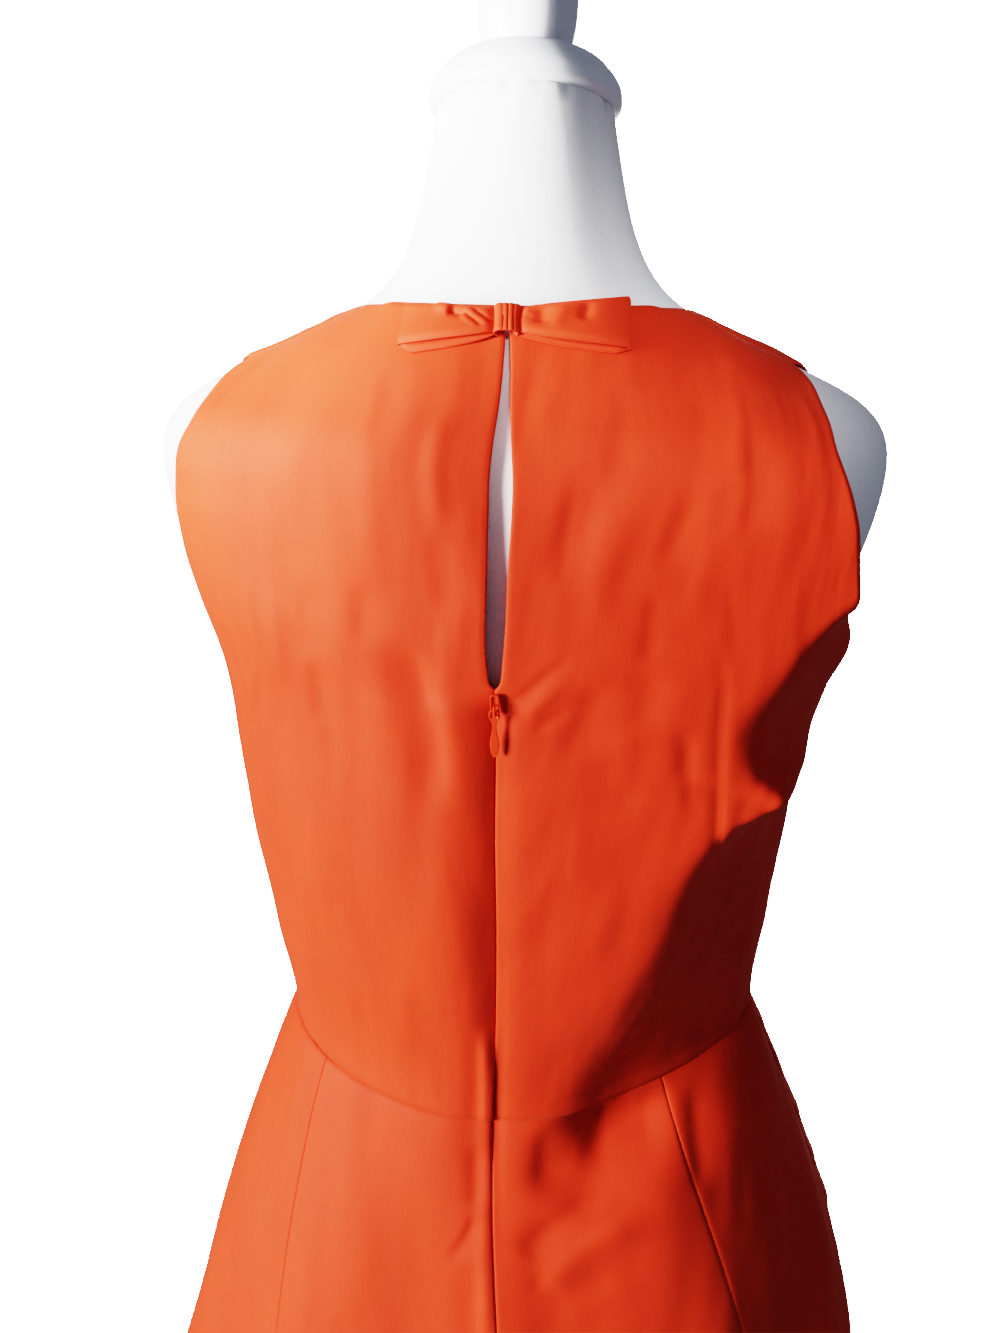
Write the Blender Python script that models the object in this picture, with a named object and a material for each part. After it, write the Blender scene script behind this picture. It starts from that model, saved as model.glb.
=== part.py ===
"""A sleeveless peplum dress on a limbless dress form with a plain round stand.

Metres, +Z up. The floor is z = 0, the front of the dress faces -Y and the wearer's left is +X.
Heights in the tables are measured up from the waist seam, and drops down from it.
"""

from collections import namedtuple
from math import atan, cos, pi, radians, sin

import bmesh
import bpy
import numpy as np
from mathutils import Matrix, Vector

# ---------------------------------------------------------------- driving sizes
WAIST_HEIGHT = 1.050  # waist seam above the floor
CLOTH = 0.0012  # wall of the dress
SEAM_GAP = 0.0003  # between two pieces that are sewn together
WAIST_DIP = 0.0150  # the waist seam hangs this much lower at the centre back
NECK_CENTRE_BACK = 0.4165  # heights of the neckline and the shoulder seam
NECK_CENTRE_FRONT = 0.3720
NECK_POINT = 0.4065
SHOULDER_TIP = 0.3855
CHEST = 0.300  # the armholes are the same on both sides above this height
UNDERARM = {"left": 0.212, "right": 0.180}  # the dress hangs a little lower on the right
UNDERARM_AS_CUT = 0.205
PEPLUM_LENGTH = 0.270
SKIRT_LENGTH = 0.580
SIDE = {"left": 1, "right": -1}

# ---------------------------------------------------------------- dress form
FormRow = namedtuple("FormRow", "height half_width back front middle roundness")
FORM = [
    FormRow(-0.270, 0.1500, 0.0960, 0.0920, 0.000, 2.20),
    FormRow(-0.200, 0.1660, 0.1120, 0.0980, 0.000, 2.30),
    FormRow(-0.130, 0.1560, 0.1030, 0.0950, 0.000, 2.30),
    FormRow(-0.060, 0.1300, 0.0860, 0.0880, 0.000, 2.30),
    FormRow(0.000, 0.1160, 0.0750, 0.0820, 0.000, 2.20),
    FormRow(0.070, 0.1270, 0.0830, 0.0960, 0.000, 2.20),
    FormRow(0.130, 0.1400, 0.0920, 0.1140, 0.000, 2.20),
    FormRow(0.180, 0.1480, 0.0970, 0.1200, 0.000, 2.20),
    FormRow(0.230, 0.1560, 0.1000, 0.1120, 0.000, 2.10),
    FormRow(0.270, 0.1700, 0.1000, 0.1020, 0.000, 2.10),
    FormRow(0.300, 0.1810, 0.0980, 0.0940, 0.000, 2.00),
    FormRow(0.330, 0.1865, 0.0940, 0.0880, 0.000, 2.00),
    FormRow(0.350, 0.1840, 0.0890, 0.0820, 0.000, 2.00),
    FormRow(0.364, 0.1710, 0.0830, 0.0770, 0.000, 1.90),
    FormRow(0.375, 0.1480, 0.0780, 0.0720, -0.002, 1.80),
    FormRow(0.386, 0.1230, 0.0730, 0.0670, -0.004, 1.75),
    FormRow(0.398, 0.0950, 0.0670, 0.0600, -0.007, 1.80),
    FormRow(0.409, 0.0760, 0.0600, 0.0540, -0.010, 1.90),
    FormRow(0.421, 0.0640, 0.0540, 0.0500, -0.013, 2.00),
    FormRow(0.440, 0.0545, 0.0480, 0.0460, -0.017, 2.00),
    FormRow(0.465, 0.0485, 0.0450, 0.0440, -0.020, 2.00),
    FormRow(0.495, 0.0430, 0.0430, 0.0430, -0.022, 2.00),
]
FORM_EDGE = 0.008  # rounding of the form's lower edge
FORM_STEPS = 40  # points round each of its sections
NECK_SLOPE = 0.40  # the neck is cut so that it faces up and forward
NECK_SLOPE_START = 0.430
NECK_TOP = 0.495
NECK_MIDDLE = -0.022

ProfileRow = namedtuple("ProfileRow", "radius height")
NECK_CAP = [
    ProfileRow(0.0435, 0.0000),
    ProfileRow(0.0458, 0.0022),
    ProfileRow(0.0466, 0.0060),
    ProfileRow(0.0458, 0.0098),
    ProfileRow(0.0432, 0.0122),
    ProfileRow(0.0400, 0.0155),
    ProfileRow(0.0330, 0.0225),
    ProfileRow(0.0230, 0.0280),
]
FINIAL = [
    ProfileRow(0.0205, 0.0000),
    ProfileRow(0.0222, 0.0060),
    ProfileRow(0.0238, 0.0150),
    ProfileRow(0.0243, 0.0250),
    ProfileRow(0.0230, 0.0360),
    ProfileRow(0.0185, 0.0460),
    ProfileRow(0.0105, 0.0525),
]
COLLAR = [
    ProfileRow(0.0140, -0.0450),
    ProfileRow(0.0230, -0.0420),
    ProfileRow(0.0230, -0.0160),
    ProfileRow(0.0420, -0.0070),
    ProfileRow(0.0420, 0.0000),
]
BASE = [
    ProfileRow(0.1780, 0.0000),
    ProfileRow(0.1800, 0.0030),
    ProfileRow(0.1790, 0.0080),
    ProfileRow(0.1740, 0.0110),
    ProfileRow(0.0600, 0.0190),
    ProfileRow(0.0300, 0.0260),
    ProfileRow(0.0240, 0.0420),
    ProfileRow(0.0210, 0.0480),
]
POLE_RADIUS = 0.0125

# ---------------------------------------------------------------- bodice
# How far the cloth's inner face stands off the form, how far the dress has slipped sideways,
# and where its centre back seam runs, round the body from the middle of the back.
EaseRow = namedtuple("EaseRow", "height side back front shift centre_back")
EASE = [
    EaseRow(0.000, 0.0195, 0.0205, 0.0180, -0.0035, 0.0080),
    EaseRow(0.050, 0.0175, 0.0180, 0.0140, -0.0025, 0.0062),
    EaseRow(0.110, 0.0120, 0.0140, 0.0080, -0.0010, 0.0045),
    EaseRow(0.160, 0.0075, 0.0105, 0.0055, 0.0000, 0.0040),
    EaseRow(0.200, 0.0050, 0.0085, 0.0055, 0.0000, 0.0040),
    EaseRow(0.250, 0.0040, 0.0080, 0.0050, 0.0005, 0.0042),
    EaseRow(0.300, 0.0045, 0.0070, 0.0050, 0.0025, 0.0025),
    EaseRow(0.340, 0.0055, 0.0065, 0.0060, 0.0025, 0.0015),
    EaseRow(0.375, 0.0065, 0.0068, 0.0080, 0.0015, 0.0025),
    EaseRow(0.420, 0.0070, 0.0045, 0.0095, -0.0010, 0.0050),
]

# Armhole edges as they are cut: round the body from the centre back, or centre front.
EdgeRow = namedtuple("EdgeRow", "height around")
ARMHOLE = {
    "back": [
        EdgeRow(0.2085, 0.2000),
        EdgeRow(0.2170, 0.1870),
        EdgeRow(0.2320, 0.1765),
        EdgeRow(0.2520, 0.1690),
        EdgeRow(0.2760, 0.1643),
        EdgeRow(0.3000, 0.1617),
        EdgeRow(0.3250, 0.1573),
        EdgeRow(0.3500, 0.1505),
        EdgeRow(0.3680, 0.1480),
    ],
    "front": [
        EdgeRow(0.2085, 0.2050),
        EdgeRow(0.2170, 0.1880),
        EdgeRow(0.2320, 0.1740),
        EdgeRow(0.2520, 0.1630),
        EdgeRow(0.2760, 0.1540),
        EdgeRow(0.3000, 0.1480),
        EdgeRow(0.3250, 0.1445),
        EdgeRow(0.3500, 0.1430),
        EdgeRow(0.3680, 0.1470),
    ],
}

# The right back hangs as a nearly flat plate from the shoulder blade to a long slanting fold, and
# falls back to the side beyond it. By height: how far out the fold is, and how much further out
# than the plain section the cloth stands by the armhole.
FoldRow = namedtuple("FoldRow", "height out spread")
FOLD = [
    FoldRow(-0.030, 0.0250, 0.0000),
    FoldRow(0.000, 0.0290, 0.0000),
    FoldRow(0.020, 0.0357, 0.0000),
    FoldRow(0.042, 0.0458, 0.0000),
    FoldRow(0.060, 0.0548, 0.0000),
    FoldRow(0.085, 0.0655, 0.0000),
    FoldRow(0.125, 0.0810, 0.0000),
    FoldRow(0.160, 0.1010, 0.0000),
    FoldRow(0.173, 0.1130, 0.0000),
    FoldRow(0.187, 0.1350, 0.0010),
    FoldRow(0.201, 0.1190, 0.0042),
    FoldRow(0.220, 0.1100, 0.0090),
    FoldRow(0.250, 0.1200, 0.0125),
    FoldRow(0.275, 0.1420, 0.0035),
    FoldRow(0.300, 0.1720, 0.0000),
    FoldRow(0.335, 0.2000, -0.0040),
    FoldRow(0.360, 0.2000, -0.0090),
    FoldRow(0.380, 0.2000, -0.0110),
]
ARMHOLE_OUT = 0.150  # where the spread is as the table says
PLATE_SLOPE, PLATE_CURVE = 0.04, 0.40
FLANK_POWER = 0.66  # how steeply the cloth falls back beyond the fold
FLANK_LEAST = 0.010
FOLD_SOFTNESS = 0.004
# How much of that hang there is, by height above the waist seam or, below 0, the drop from it.
HangRow = namedtuple("HangRow", "above share")
HANG = [
    HangRow(-0.080, 0.00),
    HangRow(-0.035, 0.12),
    HangRow(-0.012, 0.50),
    HangRow(0.006, 0.96),
    HangRow(0.030, 1.00),
    HangRow(0.180, 1.00),
    HangRow(0.340, 1.00),
    HangRow(0.358, 0.85),
    HangRow(0.372, 0.40),
    HangRow(0.384, 0.00),
    HangRow(0.420, 0.00),
]

# Half the width of the opening below the bow.
OpeningRow = namedtuple("OpeningRow", "height half")
KEYHOLE_BOTTOM = 0.2500
KEYHOLE = [
    OpeningRow(KEYHOLE_BOTTOM + 0.003, 0.0023),
    OpeningRow(0.2700, 0.0032),
    OpeningRow(0.3050, 0.0041),
    OpeningRow(0.3500, 0.0044),
    OpeningRow(0.3850, 0.0032),
    OpeningRow(0.4030, 0.0016),
    OpeningRow(NECK_CENTRE_BACK, 0.0012),
]

# ---------------------------------------------------------------- peplum and skirt
FlareRow = namedtuple("FlareRow", "drop half_width back front roundness shift")
PEPLUM = [
    FlareRow(0.000, 0.1364, 0.0964, 0.1009, 2.20, -0.0035),
    FlareRow(0.030, 0.1490, 0.1045, 0.1085, 2.20, -0.0040),
    FlareRow(0.070, 0.1645, 0.1150, 0.1180, 2.20, -0.0045),
    FlareRow(0.120, 0.1835, 0.1270, 0.1295, 2.15, -0.0050),
    FlareRow(0.170, 0.2000, 0.1385, 0.1400, 2.10, -0.0055),
    FlareRow(0.220, 0.2125, 0.1490, 0.1500, 2.10, -0.0050),
    FlareRow(PEPLUM_LENGTH, 0.2225, 0.1580, 0.1585, 2.10, 0.0000),
]
SKIRT = [
    FlareRow(0.000, 0.1345, 0.0945, 0.0990, 2.20, -0.0035),
    FlareRow(0.030, 0.1430, 0.0990, 0.1030, 2.20, -0.0035),
    FlareRow(0.070, 0.1560, 0.1060, 0.1060, 2.20, -0.0030),
    FlareRow(0.120, 0.1680, 0.1150, 0.1075, 2.20, -0.0020),
    FlareRow(0.200, 0.1770, 0.1215, 0.1090, 2.20, 0.0000),
    FlareRow(0.270, 0.1770, 0.1200, 0.1080, 2.20, 0.0000),
    FlareRow(0.400, 0.1710, 0.1150, 0.1040, 2.20, 0.0000),
    FlareRow(SKIRT_LENGTH, 0.1640, 0.1090, 0.0990, 2.20, 0.0000),
]
# Seams of both, in degrees from the middle of the back towards the wearer's left.
SeamRow = namedtuple("SeamRow", "drop centre left right")
SEAMS = [
    SeamRow(0.000, 4.2, 52.0, -35.0),
    SeamRow(0.130, 2.2, 46.0, -40.5),
    SeamRow(0.270, 0.8, 43.0, -43.0),
    SeamRow(SKIRT_LENGTH, 0.8, 43.0, -43.0),
]
FLUTES = 10  # soft waves round the peplum's hem
FLUTE_DEPTH = 0.0045

# ---------------------------------------------------------------- bow
BOW_MIDDLE = 0.0040  # round the body from the middle of the back
BOW_BOTTOM, BOW_TOP = 0.3995, 0.4170
BOW_UNDER_DROP = 0.0015  # the under layer of each loop hangs a little lower
BOW_REACH = {"left": 0.0465, "right": 0.0535}
BOW_CLEARANCE = 0.0009  # the bow rests this far off the back
BOW_FLARE = 0.0030  # the loops are longer at their lower edge
BOW_LAYERS = 0.0024  # between the two layers of a loop, at its end
BOW_LIFT = 0.0060  # how far the upper layer rises at the knot
KNOT_HALF = 0.0062
KNOT_EDGE = 0.0040  # height of the knot at its sides, and in its middle
KNOT_LIFT = 0.0098

# ---------------------------------------------------------------- zip
TAPE_HALF = 0.0110
TAPE = 0.0008
TAPE_CLEARANCE = 0.0007
ZIP_END = -0.012
SLIDER_BOTTOM, SLIDER_TOP = 0.2380, 0.2490
SLIDER_HALF = 0.0025
SLIDER_PLATE = 0.0015
SLIDER_CORNER = 0.0016
BRIDGE_START = 0.0004  # its foot stands this far above the slider's lower end
BRIDGE_HALF = 0.0006  # half its width
BRIDGE_REACH = 0.0029  # half its length
BRIDGE_WALL = 0.0009
BRIDGE_CORNER = 0.0012
BRIDGE_ROOM = 0.0022  # height of the room under it
PULL_THICK = 0.0010
PULL_LEAN = radians(4.5)
PULL_HOLE_HALF = 0.0014
PULL_HOLE_END = 0.0036
PULL_HOLE_CORNER = 0.0009
PULL_EYE_HALF = 0.0030
PULL_EYE_ROUND = 0.0032
# The pull's outline below its eye, measured down from its hinge.
PullRow = namedtuple("PullRow", "drop half")
PULL = [
    PullRow(0.0046, 0.00225),
    PullRow(0.0058, 0.00130),
    PullRow(0.0088, 0.00150),
    PullRow(0.0120, 0.00155),
    PullRow(0.0140, 0.00210),
    PullRow(0.0160, 0.00250),
    PullRow(0.0175, 0.00260),
    PullRow(0.0200, 0.00245),
    PullRow(0.0225, 0.00190),
    PullRow(0.0243, 0.00110),
    PullRow(0.0252, 0.00050),
]
PULL_LENGTH = 0.0255


# ---------------------------------------------------------------- tables and rings
def smooth(rows, column, at):
    """Reads a column of a table at any height or drop, along a smooth curve."""
    x = np.array([row[0] for row in rows])
    y = np.array([getattr(row, column) for row in rows])
    step = np.diff(x)
    rise = np.diff(y) / step
    slope = np.empty_like(y)
    slope[1:-1] = (rise[:-1] * step[1:] + rise[1:] * step[:-1]) / (step[:-1] + step[1:])
    slope[0], slope[-1] = rise[0], rise[-1]
    at = np.clip(np.asarray(at, float), x[0], x[-1])
    i = np.clip(np.searchsorted(x, at) - 1, 0, len(x) - 2)
    t = (at - x[i]) / step[i]
    ends = y[i] * (1 + 2 * t) * (1 - t) ** 2 + y[i + 1] * t * t * (3 - 2 * t)
    return ends + step[i] * (slope[i] * t * (1 - t) ** 2 - slope[i + 1] * t * t * (1 - t))


def on_ring(turn, half_width, back, front, roundness):
    """A point of a rounded section; turn 0 is the centre back, a quarter turn is +X."""
    across, rear = np.sin(turn), np.cos(turn)
    depth = np.where(rear > 0, back, front)
    power = 2.0 / roundness
    x = half_width * np.sign(across) * np.abs(across) ** power
    y = depth * np.sign(rear) * np.abs(rear) ** power
    return x, y


def place(x, y, height):
    """Stacks coordinates into points, with heights counted from the waist."""
    return np.stack(np.broadcast_arrays(x, y, np.asarray(height) + WAIST_HEIGHT), -1)


def form_point(turn, height):
    columns = [smooth(FORM, c, height) for c in ("half_width", "back", "front", "roundness")]
    x, y = on_ring(turn, *columns)
    slope = NECK_SLOPE * np.clip((height - NECK_SLOPE_START) / (NECK_TOP - NECK_SLOPE_START), 0, 1)
    middle = smooth(FORM, "middle", height)
    return place(x, y + middle, height + slope * y)


def worn_section(height):
    """Half width, back, front and roundness of the bodice's inner face."""
    sizes = [
        smooth(FORM, on_form, height) + smooth(EASE, ease, height)
        for on_form, ease in (("half_width", "side"), ("back", "back"), ("front", "front"))
    ]
    return *sizes, smooth(FORM, "roundness", height)


def worn_point(turn, height):
    x, y = on_ring(turn, *worn_section(height))
    middle = smooth(FORM, "middle", height)
    return place(x + smooth(EASE, "shift", height), y + middle, height)


def quarter(height, face):
    """About a quarter of the way round the bodice, at its back or its front."""
    half_width, back, front, _ = worn_section(height)
    depth = back if face == "back" else front
    return pi / 2 * np.sqrt((half_width**2 + depth**2) / 2)


def seam_drop(turn):
    """How far the waist seam lies below the waist at its sides."""
    return WAIST_DIP * np.clip(np.cos(turn), 0, 1) ** 2


def hang(points, half_width, crest, above):
    """Moves the right back from its plain section to the plate and the flank beyond its fold."""
    out = np.clip(-points[..., 0], 0, None)
    fold = smooth(FOLD, "out", points[..., 2] - WAIST_HEIGHT)
    plate = crest - PLATE_SLOPE * out - PLATE_CURVE * out**2
    at_fold = crest - PLATE_SLOPE * fold - PLATE_CURVE * fold**2
    past = (out - fold) / np.maximum(half_width - fold, FLANK_LEAST)
    falling = np.clip(1 - past, 0, 1) ** FLANK_POWER
    flank = at_fold * np.where(past > 0, falling, 1 - FLANK_POWER * past)
    target = plate - FOLD_SOFTNESS * np.logaddexp(0, (plate - flank) / FOLD_SOFTNESS)
    target = np.maximum(target, 0)
    share = np.clip(smooth(HANG, "share", above), 0, 1)
    share = np.where((points[..., 1] > 0) & (out > 0), share, 0)
    spread = smooth(FOLD, "spread", points[..., 2] - WAIST_HEIGHT) * (out / ARMHOLE_OUT) ** 3
    moved = points.copy()
    moved[..., 0] -= share * spread
    moved[..., 1] += share * (target - points[..., 1])
    return moved


def back_point(turn, height):
    """A point of the bodice's inner face at the back, as it hangs."""
    half_width, back, _, _ = worn_section(height)
    half_width = half_width - smooth(EASE, "shift", height)
    crest = back + smooth(FORM, "middle", height)
    return hang(worn_point(turn, height), half_width, crest, height + seam_drop(turn))


def flared_point(rows, turn, drop, flute=0.0):
    """A point of the peplum or the skirt, by its drop below the waist seam."""
    columns = [smooth(rows, c, drop) for c in ("half_width", "back", "front", "roundness")]
    wave = flute * (np.clip(drop, 0, None) / PEPLUM_LENGTH) ** 1.3 * np.cos(FLUTES * turn)
    columns[:3] = [size + wave for size in columns[:3]]
    x, y = on_ring(turn, *columns)
    shift = smooth(rows, "shift", drop)
    points = place(x + shift, y, -seam_drop(turn) - drop)
    return hang(points, columns[0] - shift, columns[1], -drop)


def outward(point, a, b, step=1e-4):
    """Unit normals of point(a, b), a surface whose a runs round and b runs up or down."""
    round_it = point(a + step, b) - point(a - step, b)
    along_it = point(a, b + step) - point(a, b - step)
    normal = np.cross(round_it, along_it)
    normal /= np.linalg.norm(normal, axis=-1, keepdims=True)
    middle = point(a, b) * [1, 1, 0]
    return normal * np.sign((normal * middle).sum(-1, keepdims=True))


# ---------------------------------------------------------------- patterns
def resample(points, count):
    """count points evenly spaced along a line through points."""
    points = np.asarray(points, float)
    length = np.concatenate([[0], np.cumsum(np.linalg.norm(np.diff(points, axis=0), axis=1))])
    at = np.linspace(0, length[-1], count)
    return np.stack([np.interp(at, length, points[:, k]) for k in range(points.shape[1])], -1)


def fill(bottom, top, left, right, passes=60):
    """A grid between four edges, rows from bottom to top, evened out inside."""
    u = np.linspace(0, 1, len(bottom))[None, :, None]
    v = np.linspace(0, 1, len(left))[:, None, None]
    grid = (1 - v) * bottom + v * top + (1 - u) * left[:, None] + u * right[:, None]
    grid -= (1 - u) * ((1 - v) * bottom[0] + v * top[0]) + u * ((1 - v) * bottom[-1] + v * top[-1])
    for _ in range(passes):
        sides = grid[1:-1, :-2] + grid[1:-1, 2:] + grid[:-2, 1:-1] + grid[2:, 1:-1]
        grid[1:-1, 1:-1] = sides / 4
    return grid


def armhole(face, side, count):
    """The armhole edge from the underarm to the shoulder tip."""
    stretch = (CHEST - UNDERARM[side]) / (CHEST - UNDERARM_AS_CUT)
    rows = [EdgeRow(UNDERARM[side], quarter(UNDERARM[side], face) - SEAM_GAP / 2)]
    for row in ARMHOLE[face]:
        height = CHEST - (CHEST - row.height) * stretch if row.height < CHEST else row.height
        rows.append(EdgeRow(height, row.around))
    rows.append(EdgeRow(SHOULDER_TIP, quarter(SHOULDER_TIP, face) - SEAM_GAP / 2))
    heights = np.linspace(rows[0].height, rows[-1].height, 80)
    return resample(np.stack([smooth(rows, "around", heights), heights], -1), count)


def bodice_side(face, side, seam_count, hole_count):
    """The edge of a bodice piece up its side seam and round its armhole."""
    heights = np.linspace(0, UNDERARM[side], seam_count)
    seam = np.stack([quarter(heights, face) - SEAM_GAP / 2, heights], -1)
    return np.concatenate([seam[:-1], armhole(face, side, hole_count)])


def shoulder(face, count):
    """The shoulder seam from the neck point to the shoulder tip."""
    heights = np.linspace(NECK_POINT, SHOULDER_TIP, count)
    return np.stack([quarter(heights, face) - SEAM_GAP / 2, heights], -1)


def centre_back_edge(side, heights):
    half = np.where(heights > KEYHOLE_BOTTOM + 1e-6, smooth(KEYHOLE, "half", heights), SEAM_GAP / 2)
    middle = smooth(EASE, "centre_back", heights) * SIDE[side]
    return np.stack([middle + half, heights], -1)


def back_pattern(side):
    """One back piece: distance round the body from its middle, and height."""
    heights = np.concatenate(
        [
            np.linspace(-WAIST_DIP, KEYHOLE_BOTTOM, 11),
            np.linspace(KEYHOLE_BOTTOM + 0.003, NECK_CENTRE_BACK, 9),
        ]
    )
    left = centre_back_edge(side, heights)
    right = bodice_side("back", side, 10, 11)
    seam = shoulder("back", 6)
    share = np.linspace(0, 1, 8)[:-1]
    neck_around = left[-1, 0] + (seam[0, 0] - left[-1, 0]) * share
    neck = np.stack([neck_around, NECK_CENTRE_BACK + (NECK_POINT - NECK_CENTRE_BACK) * share**2], -1)
    top = np.concatenate([neck, seam])
    around = np.linspace(left[0, 0], right[0, 0], len(top))
    drop = seam_drop(pi / 2 * around / quarter(0.0, "back")) - SEAM_GAP / 2
    return fill(np.stack([around, -drop], -1), top, left, right)


def front_pattern():
    """The front piece, from the wearer's right to the left, measured from the centre front."""
    right = bodice_side("front", "right", 9, 14) * [-1, 1]
    left = bodice_side("front", "left", 9, 14)
    seam = shoulder("front", 6)
    share = np.linspace(-1, 1, 17)
    scoop = NECK_CENTRE_FRONT + (NECK_POINT - NECK_CENTRE_FRONT) * np.abs(share) ** 2.2
    neck = np.stack([seam[0, 0] * share, scoop], -1)
    top = np.concatenate([seam[:0:-1] * [-1, 1], neck, seam[1:]])
    around = np.linspace(right[0, 0], left[0, 0], len(top))
    bottom = np.stack([around, np.full(len(top), SEAM_GAP / 2)], -1)
    return fill(bottom, top, right, left)


def worn(face, around, height):
    """Turns a bodice pattern into points on the body, and their outward directions."""
    point = back_point if face == "back" else worn_point
    turn = pi / 2 * around / quarter(height, face)
    if face == "front":
        turn = pi - turn
    normal = outward(point, turn, height)
    level = np.clip(1 - (height + WAIST_DIP) / 0.03, 0, 1)[..., None]
    normal *= 1 - level * [0, 0, 1]
    normal /= np.linalg.norm(normal, axis=-1, keepdims=True)
    return point(turn, height), normal


# ---------------------------------------------------------------- meshes
def finish(name, colour, roughness, metallic=0.0):
    material = bpy.data.materials.new(name)
    material.use_nodes = True
    shader = material.node_tree.nodes["Principled BSDF"]
    shader.inputs["Base Color"].default_value = (*colour, 1)
    shader.inputs["Roughness"].default_value = roughness
    shader.inputs["Metallic"].default_value = metallic
    return material


def add(name, mesh, colour, roughness):
    piece = bpy.data.objects.new(name, mesh)
    bpy.context.scene.collection.objects.link(piece)
    mesh.materials.append(finish(name + "_finish", colour, roughness))
    return piece


def closed(name, inner, outer):
    """A closed wall between two grids of points that face each other."""
    rows, columns = inner.shape[:2]
    count = rows * columns
    index = np.arange(count).reshape(rows, columns)
    faces = []
    for r in range(rows - 1):
        for c in range(columns - 1):
            quad = [index[r, c], index[r, c + 1], index[r + 1, c + 1], index[r + 1, c]]
            faces.append([int(i) + count for i in quad])
            faces.append([int(i) for i in reversed(quad)])
    rim = [*index[0], *index[1:, -1], *index[-1, -2::-1], *index[-2:0:-1, 0]]
    for a, b in zip(rim, rim[1:] + rim[:1]):
        faces.append([int(a), int(b), int(b) + count, int(a) + count])
    points = np.concatenate([inner.reshape(-1, 3), outer.reshape(-1, 3)])
    mesh = bpy.data.meshes.new(name)
    mesh.from_pydata(points.tolist(), [], faces)
    body = bmesh.new()
    body.from_mesh(mesh)
    bmesh.ops.recalc_face_normals(body, faces=body.faces)
    body.to_mesh(mesh)
    body.free()
    mesh.shade_smooth()
    mesh.set_sharp_from_angle(angle=radians(50))
    return mesh


def cloth(name, points, normal, colour, thickness=CLOTH):
    return add(name, closed(name, points, points + normal * thickness), colour, 0.7)


def turned(name, profile, segments, colour, roughness=0.4):
    """A turned piece about Z, closed by flat ends."""
    body = bmesh.new()
    line = [body.verts.new((row.radius, 0, row.height)) for row in profile]
    edges = [body.edges.new(pair) for pair in zip(line, line[1:])]
    bmesh.ops.spin(
        body, geom=line + edges, axis=(0, 0, 1), cent=(0, 0, 0), steps=segments, angle=2 * pi
    )
    bmesh.ops.remove_doubles(body, verts=body.verts, dist=1e-6)
    bmesh.ops.holes_fill(body, edges=[e for e in body.edges if e.is_boundary], sides=0)
    bmesh.ops.recalc_face_normals(body, faces=body.faces)
    mesh = bpy.data.meshes.new(name)
    body.to_mesh(mesh)
    body.free()
    mesh.shade_smooth()
    mesh.set_sharp_from_angle(angle=radians(40))
    return add(name, mesh, colour, roughness)


def bar(profile, half, axis_matrix):
    """A flat plate: an outline in its own plane, given a thickness, then placed."""
    body = bmesh.new()
    face = body.faces.new([body.verts.new((x, -half, z)) for x, z in profile])
    side = bmesh.ops.extrude_face_region(body, geom=[face])
    verts = [v for v in side["geom"] if isinstance(v, bmesh.types.BMVert)]
    bmesh.ops.translate(body, verts=verts, vec=(0, 2 * half, 0))
    bmesh.ops.recalc_face_normals(body, faces=body.faces)
    bmesh.ops.transform(body, matrix=axis_matrix, verts=body.verts)
    mesh = bpy.data.meshes.new("plate")
    body.to_mesh(mesh)
    body.free()
    return mesh


# ---------------------------------------------------------------- the dress form
def build_form():
    white = (0.80, 0.80, 0.82)
    steps = np.linspace(0, 2 * pi, FORM_STEPS, endpoint=False)
    low = FORM[0].height
    heights = [low, low + FORM_EDGE]
    heights += list(np.linspace(low + 0.04, 0.27, 13))
    heights += [0.30, 0.33, 0.35, 0.364, 0.375, 0.386, 0.398, 0.409, 0.421, 0.440, 0.465, NECK_TOP]
    rings = [form_point(steps, np.full(FORM_STEPS, h)) for h in heights]
    rings[0][:, :2] *= 1 - FORM_EDGE / FORM[0].back
    points = np.concatenate(rings)
    faces = [list(range(FORM_STEPS))[::-1]]
    for r in range(len(rings) - 1):
        for c in range(FORM_STEPS):
            a, b = r * FORM_STEPS + c, r * FORM_STEPS + (c + 1) % FORM_STEPS
            faces.append([a, b, b + FORM_STEPS, a + FORM_STEPS])
    last = (len(rings) - 1) * FORM_STEPS
    faces.append([last + c for c in range(FORM_STEPS)])
    mesh = bpy.data.meshes.new("form_torso")
    mesh.from_pydata(points.tolist(), [], faces)
    body = bmesh.new()
    body.from_mesh(mesh)
    bmesh.ops.recalc_face_normals(body, faces=body.faces)
    body.to_mesh(mesh)
    body.free()
    mesh.shade_smooth()
    mesh.set_sharp_from_angle(angle=radians(50))
    add("form_torso", mesh, white, 0.55)

    tilt = atan(NECK_SLOPE)
    up = Vector((0, -sin(tilt), cos(tilt)))
    neck_top = Vector((0, NECK_MIDDLE, WAIST_HEIGHT + NECK_TOP))
    cap = turned("neck_cap", NECK_CAP, 32, white)
    cap.rotation_euler = (tilt, 0, 0)
    cap.location = neck_top + up * SEAM_GAP
    finial = turned("finial", FINIAL, 24, white)
    finial.rotation_euler = (tilt, 0, 0)
    finial.location = neck_top + up * (NECK_CAP[-1].height + 2 * SEAM_GAP)

    under = WAIST_HEIGHT + low - SEAM_GAP
    turned("pole_collar", COLLAR, 24, white).location = (0, 0, under)
    foot = BASE[-1].height + SEAM_GAP
    top = under + COLLAR[0].height - SEAM_GAP
    pole = [ProfileRow(POLE_RADIUS, foot), ProfileRow(POLE_RADIUS, top)]
    turned("pole", pole, 24, white)
    turned("base", BASE, 64, white)


# ---------------------------------------------------------------- the dress
ORANGE = (0.80, 0.075, 0.012)


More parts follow.
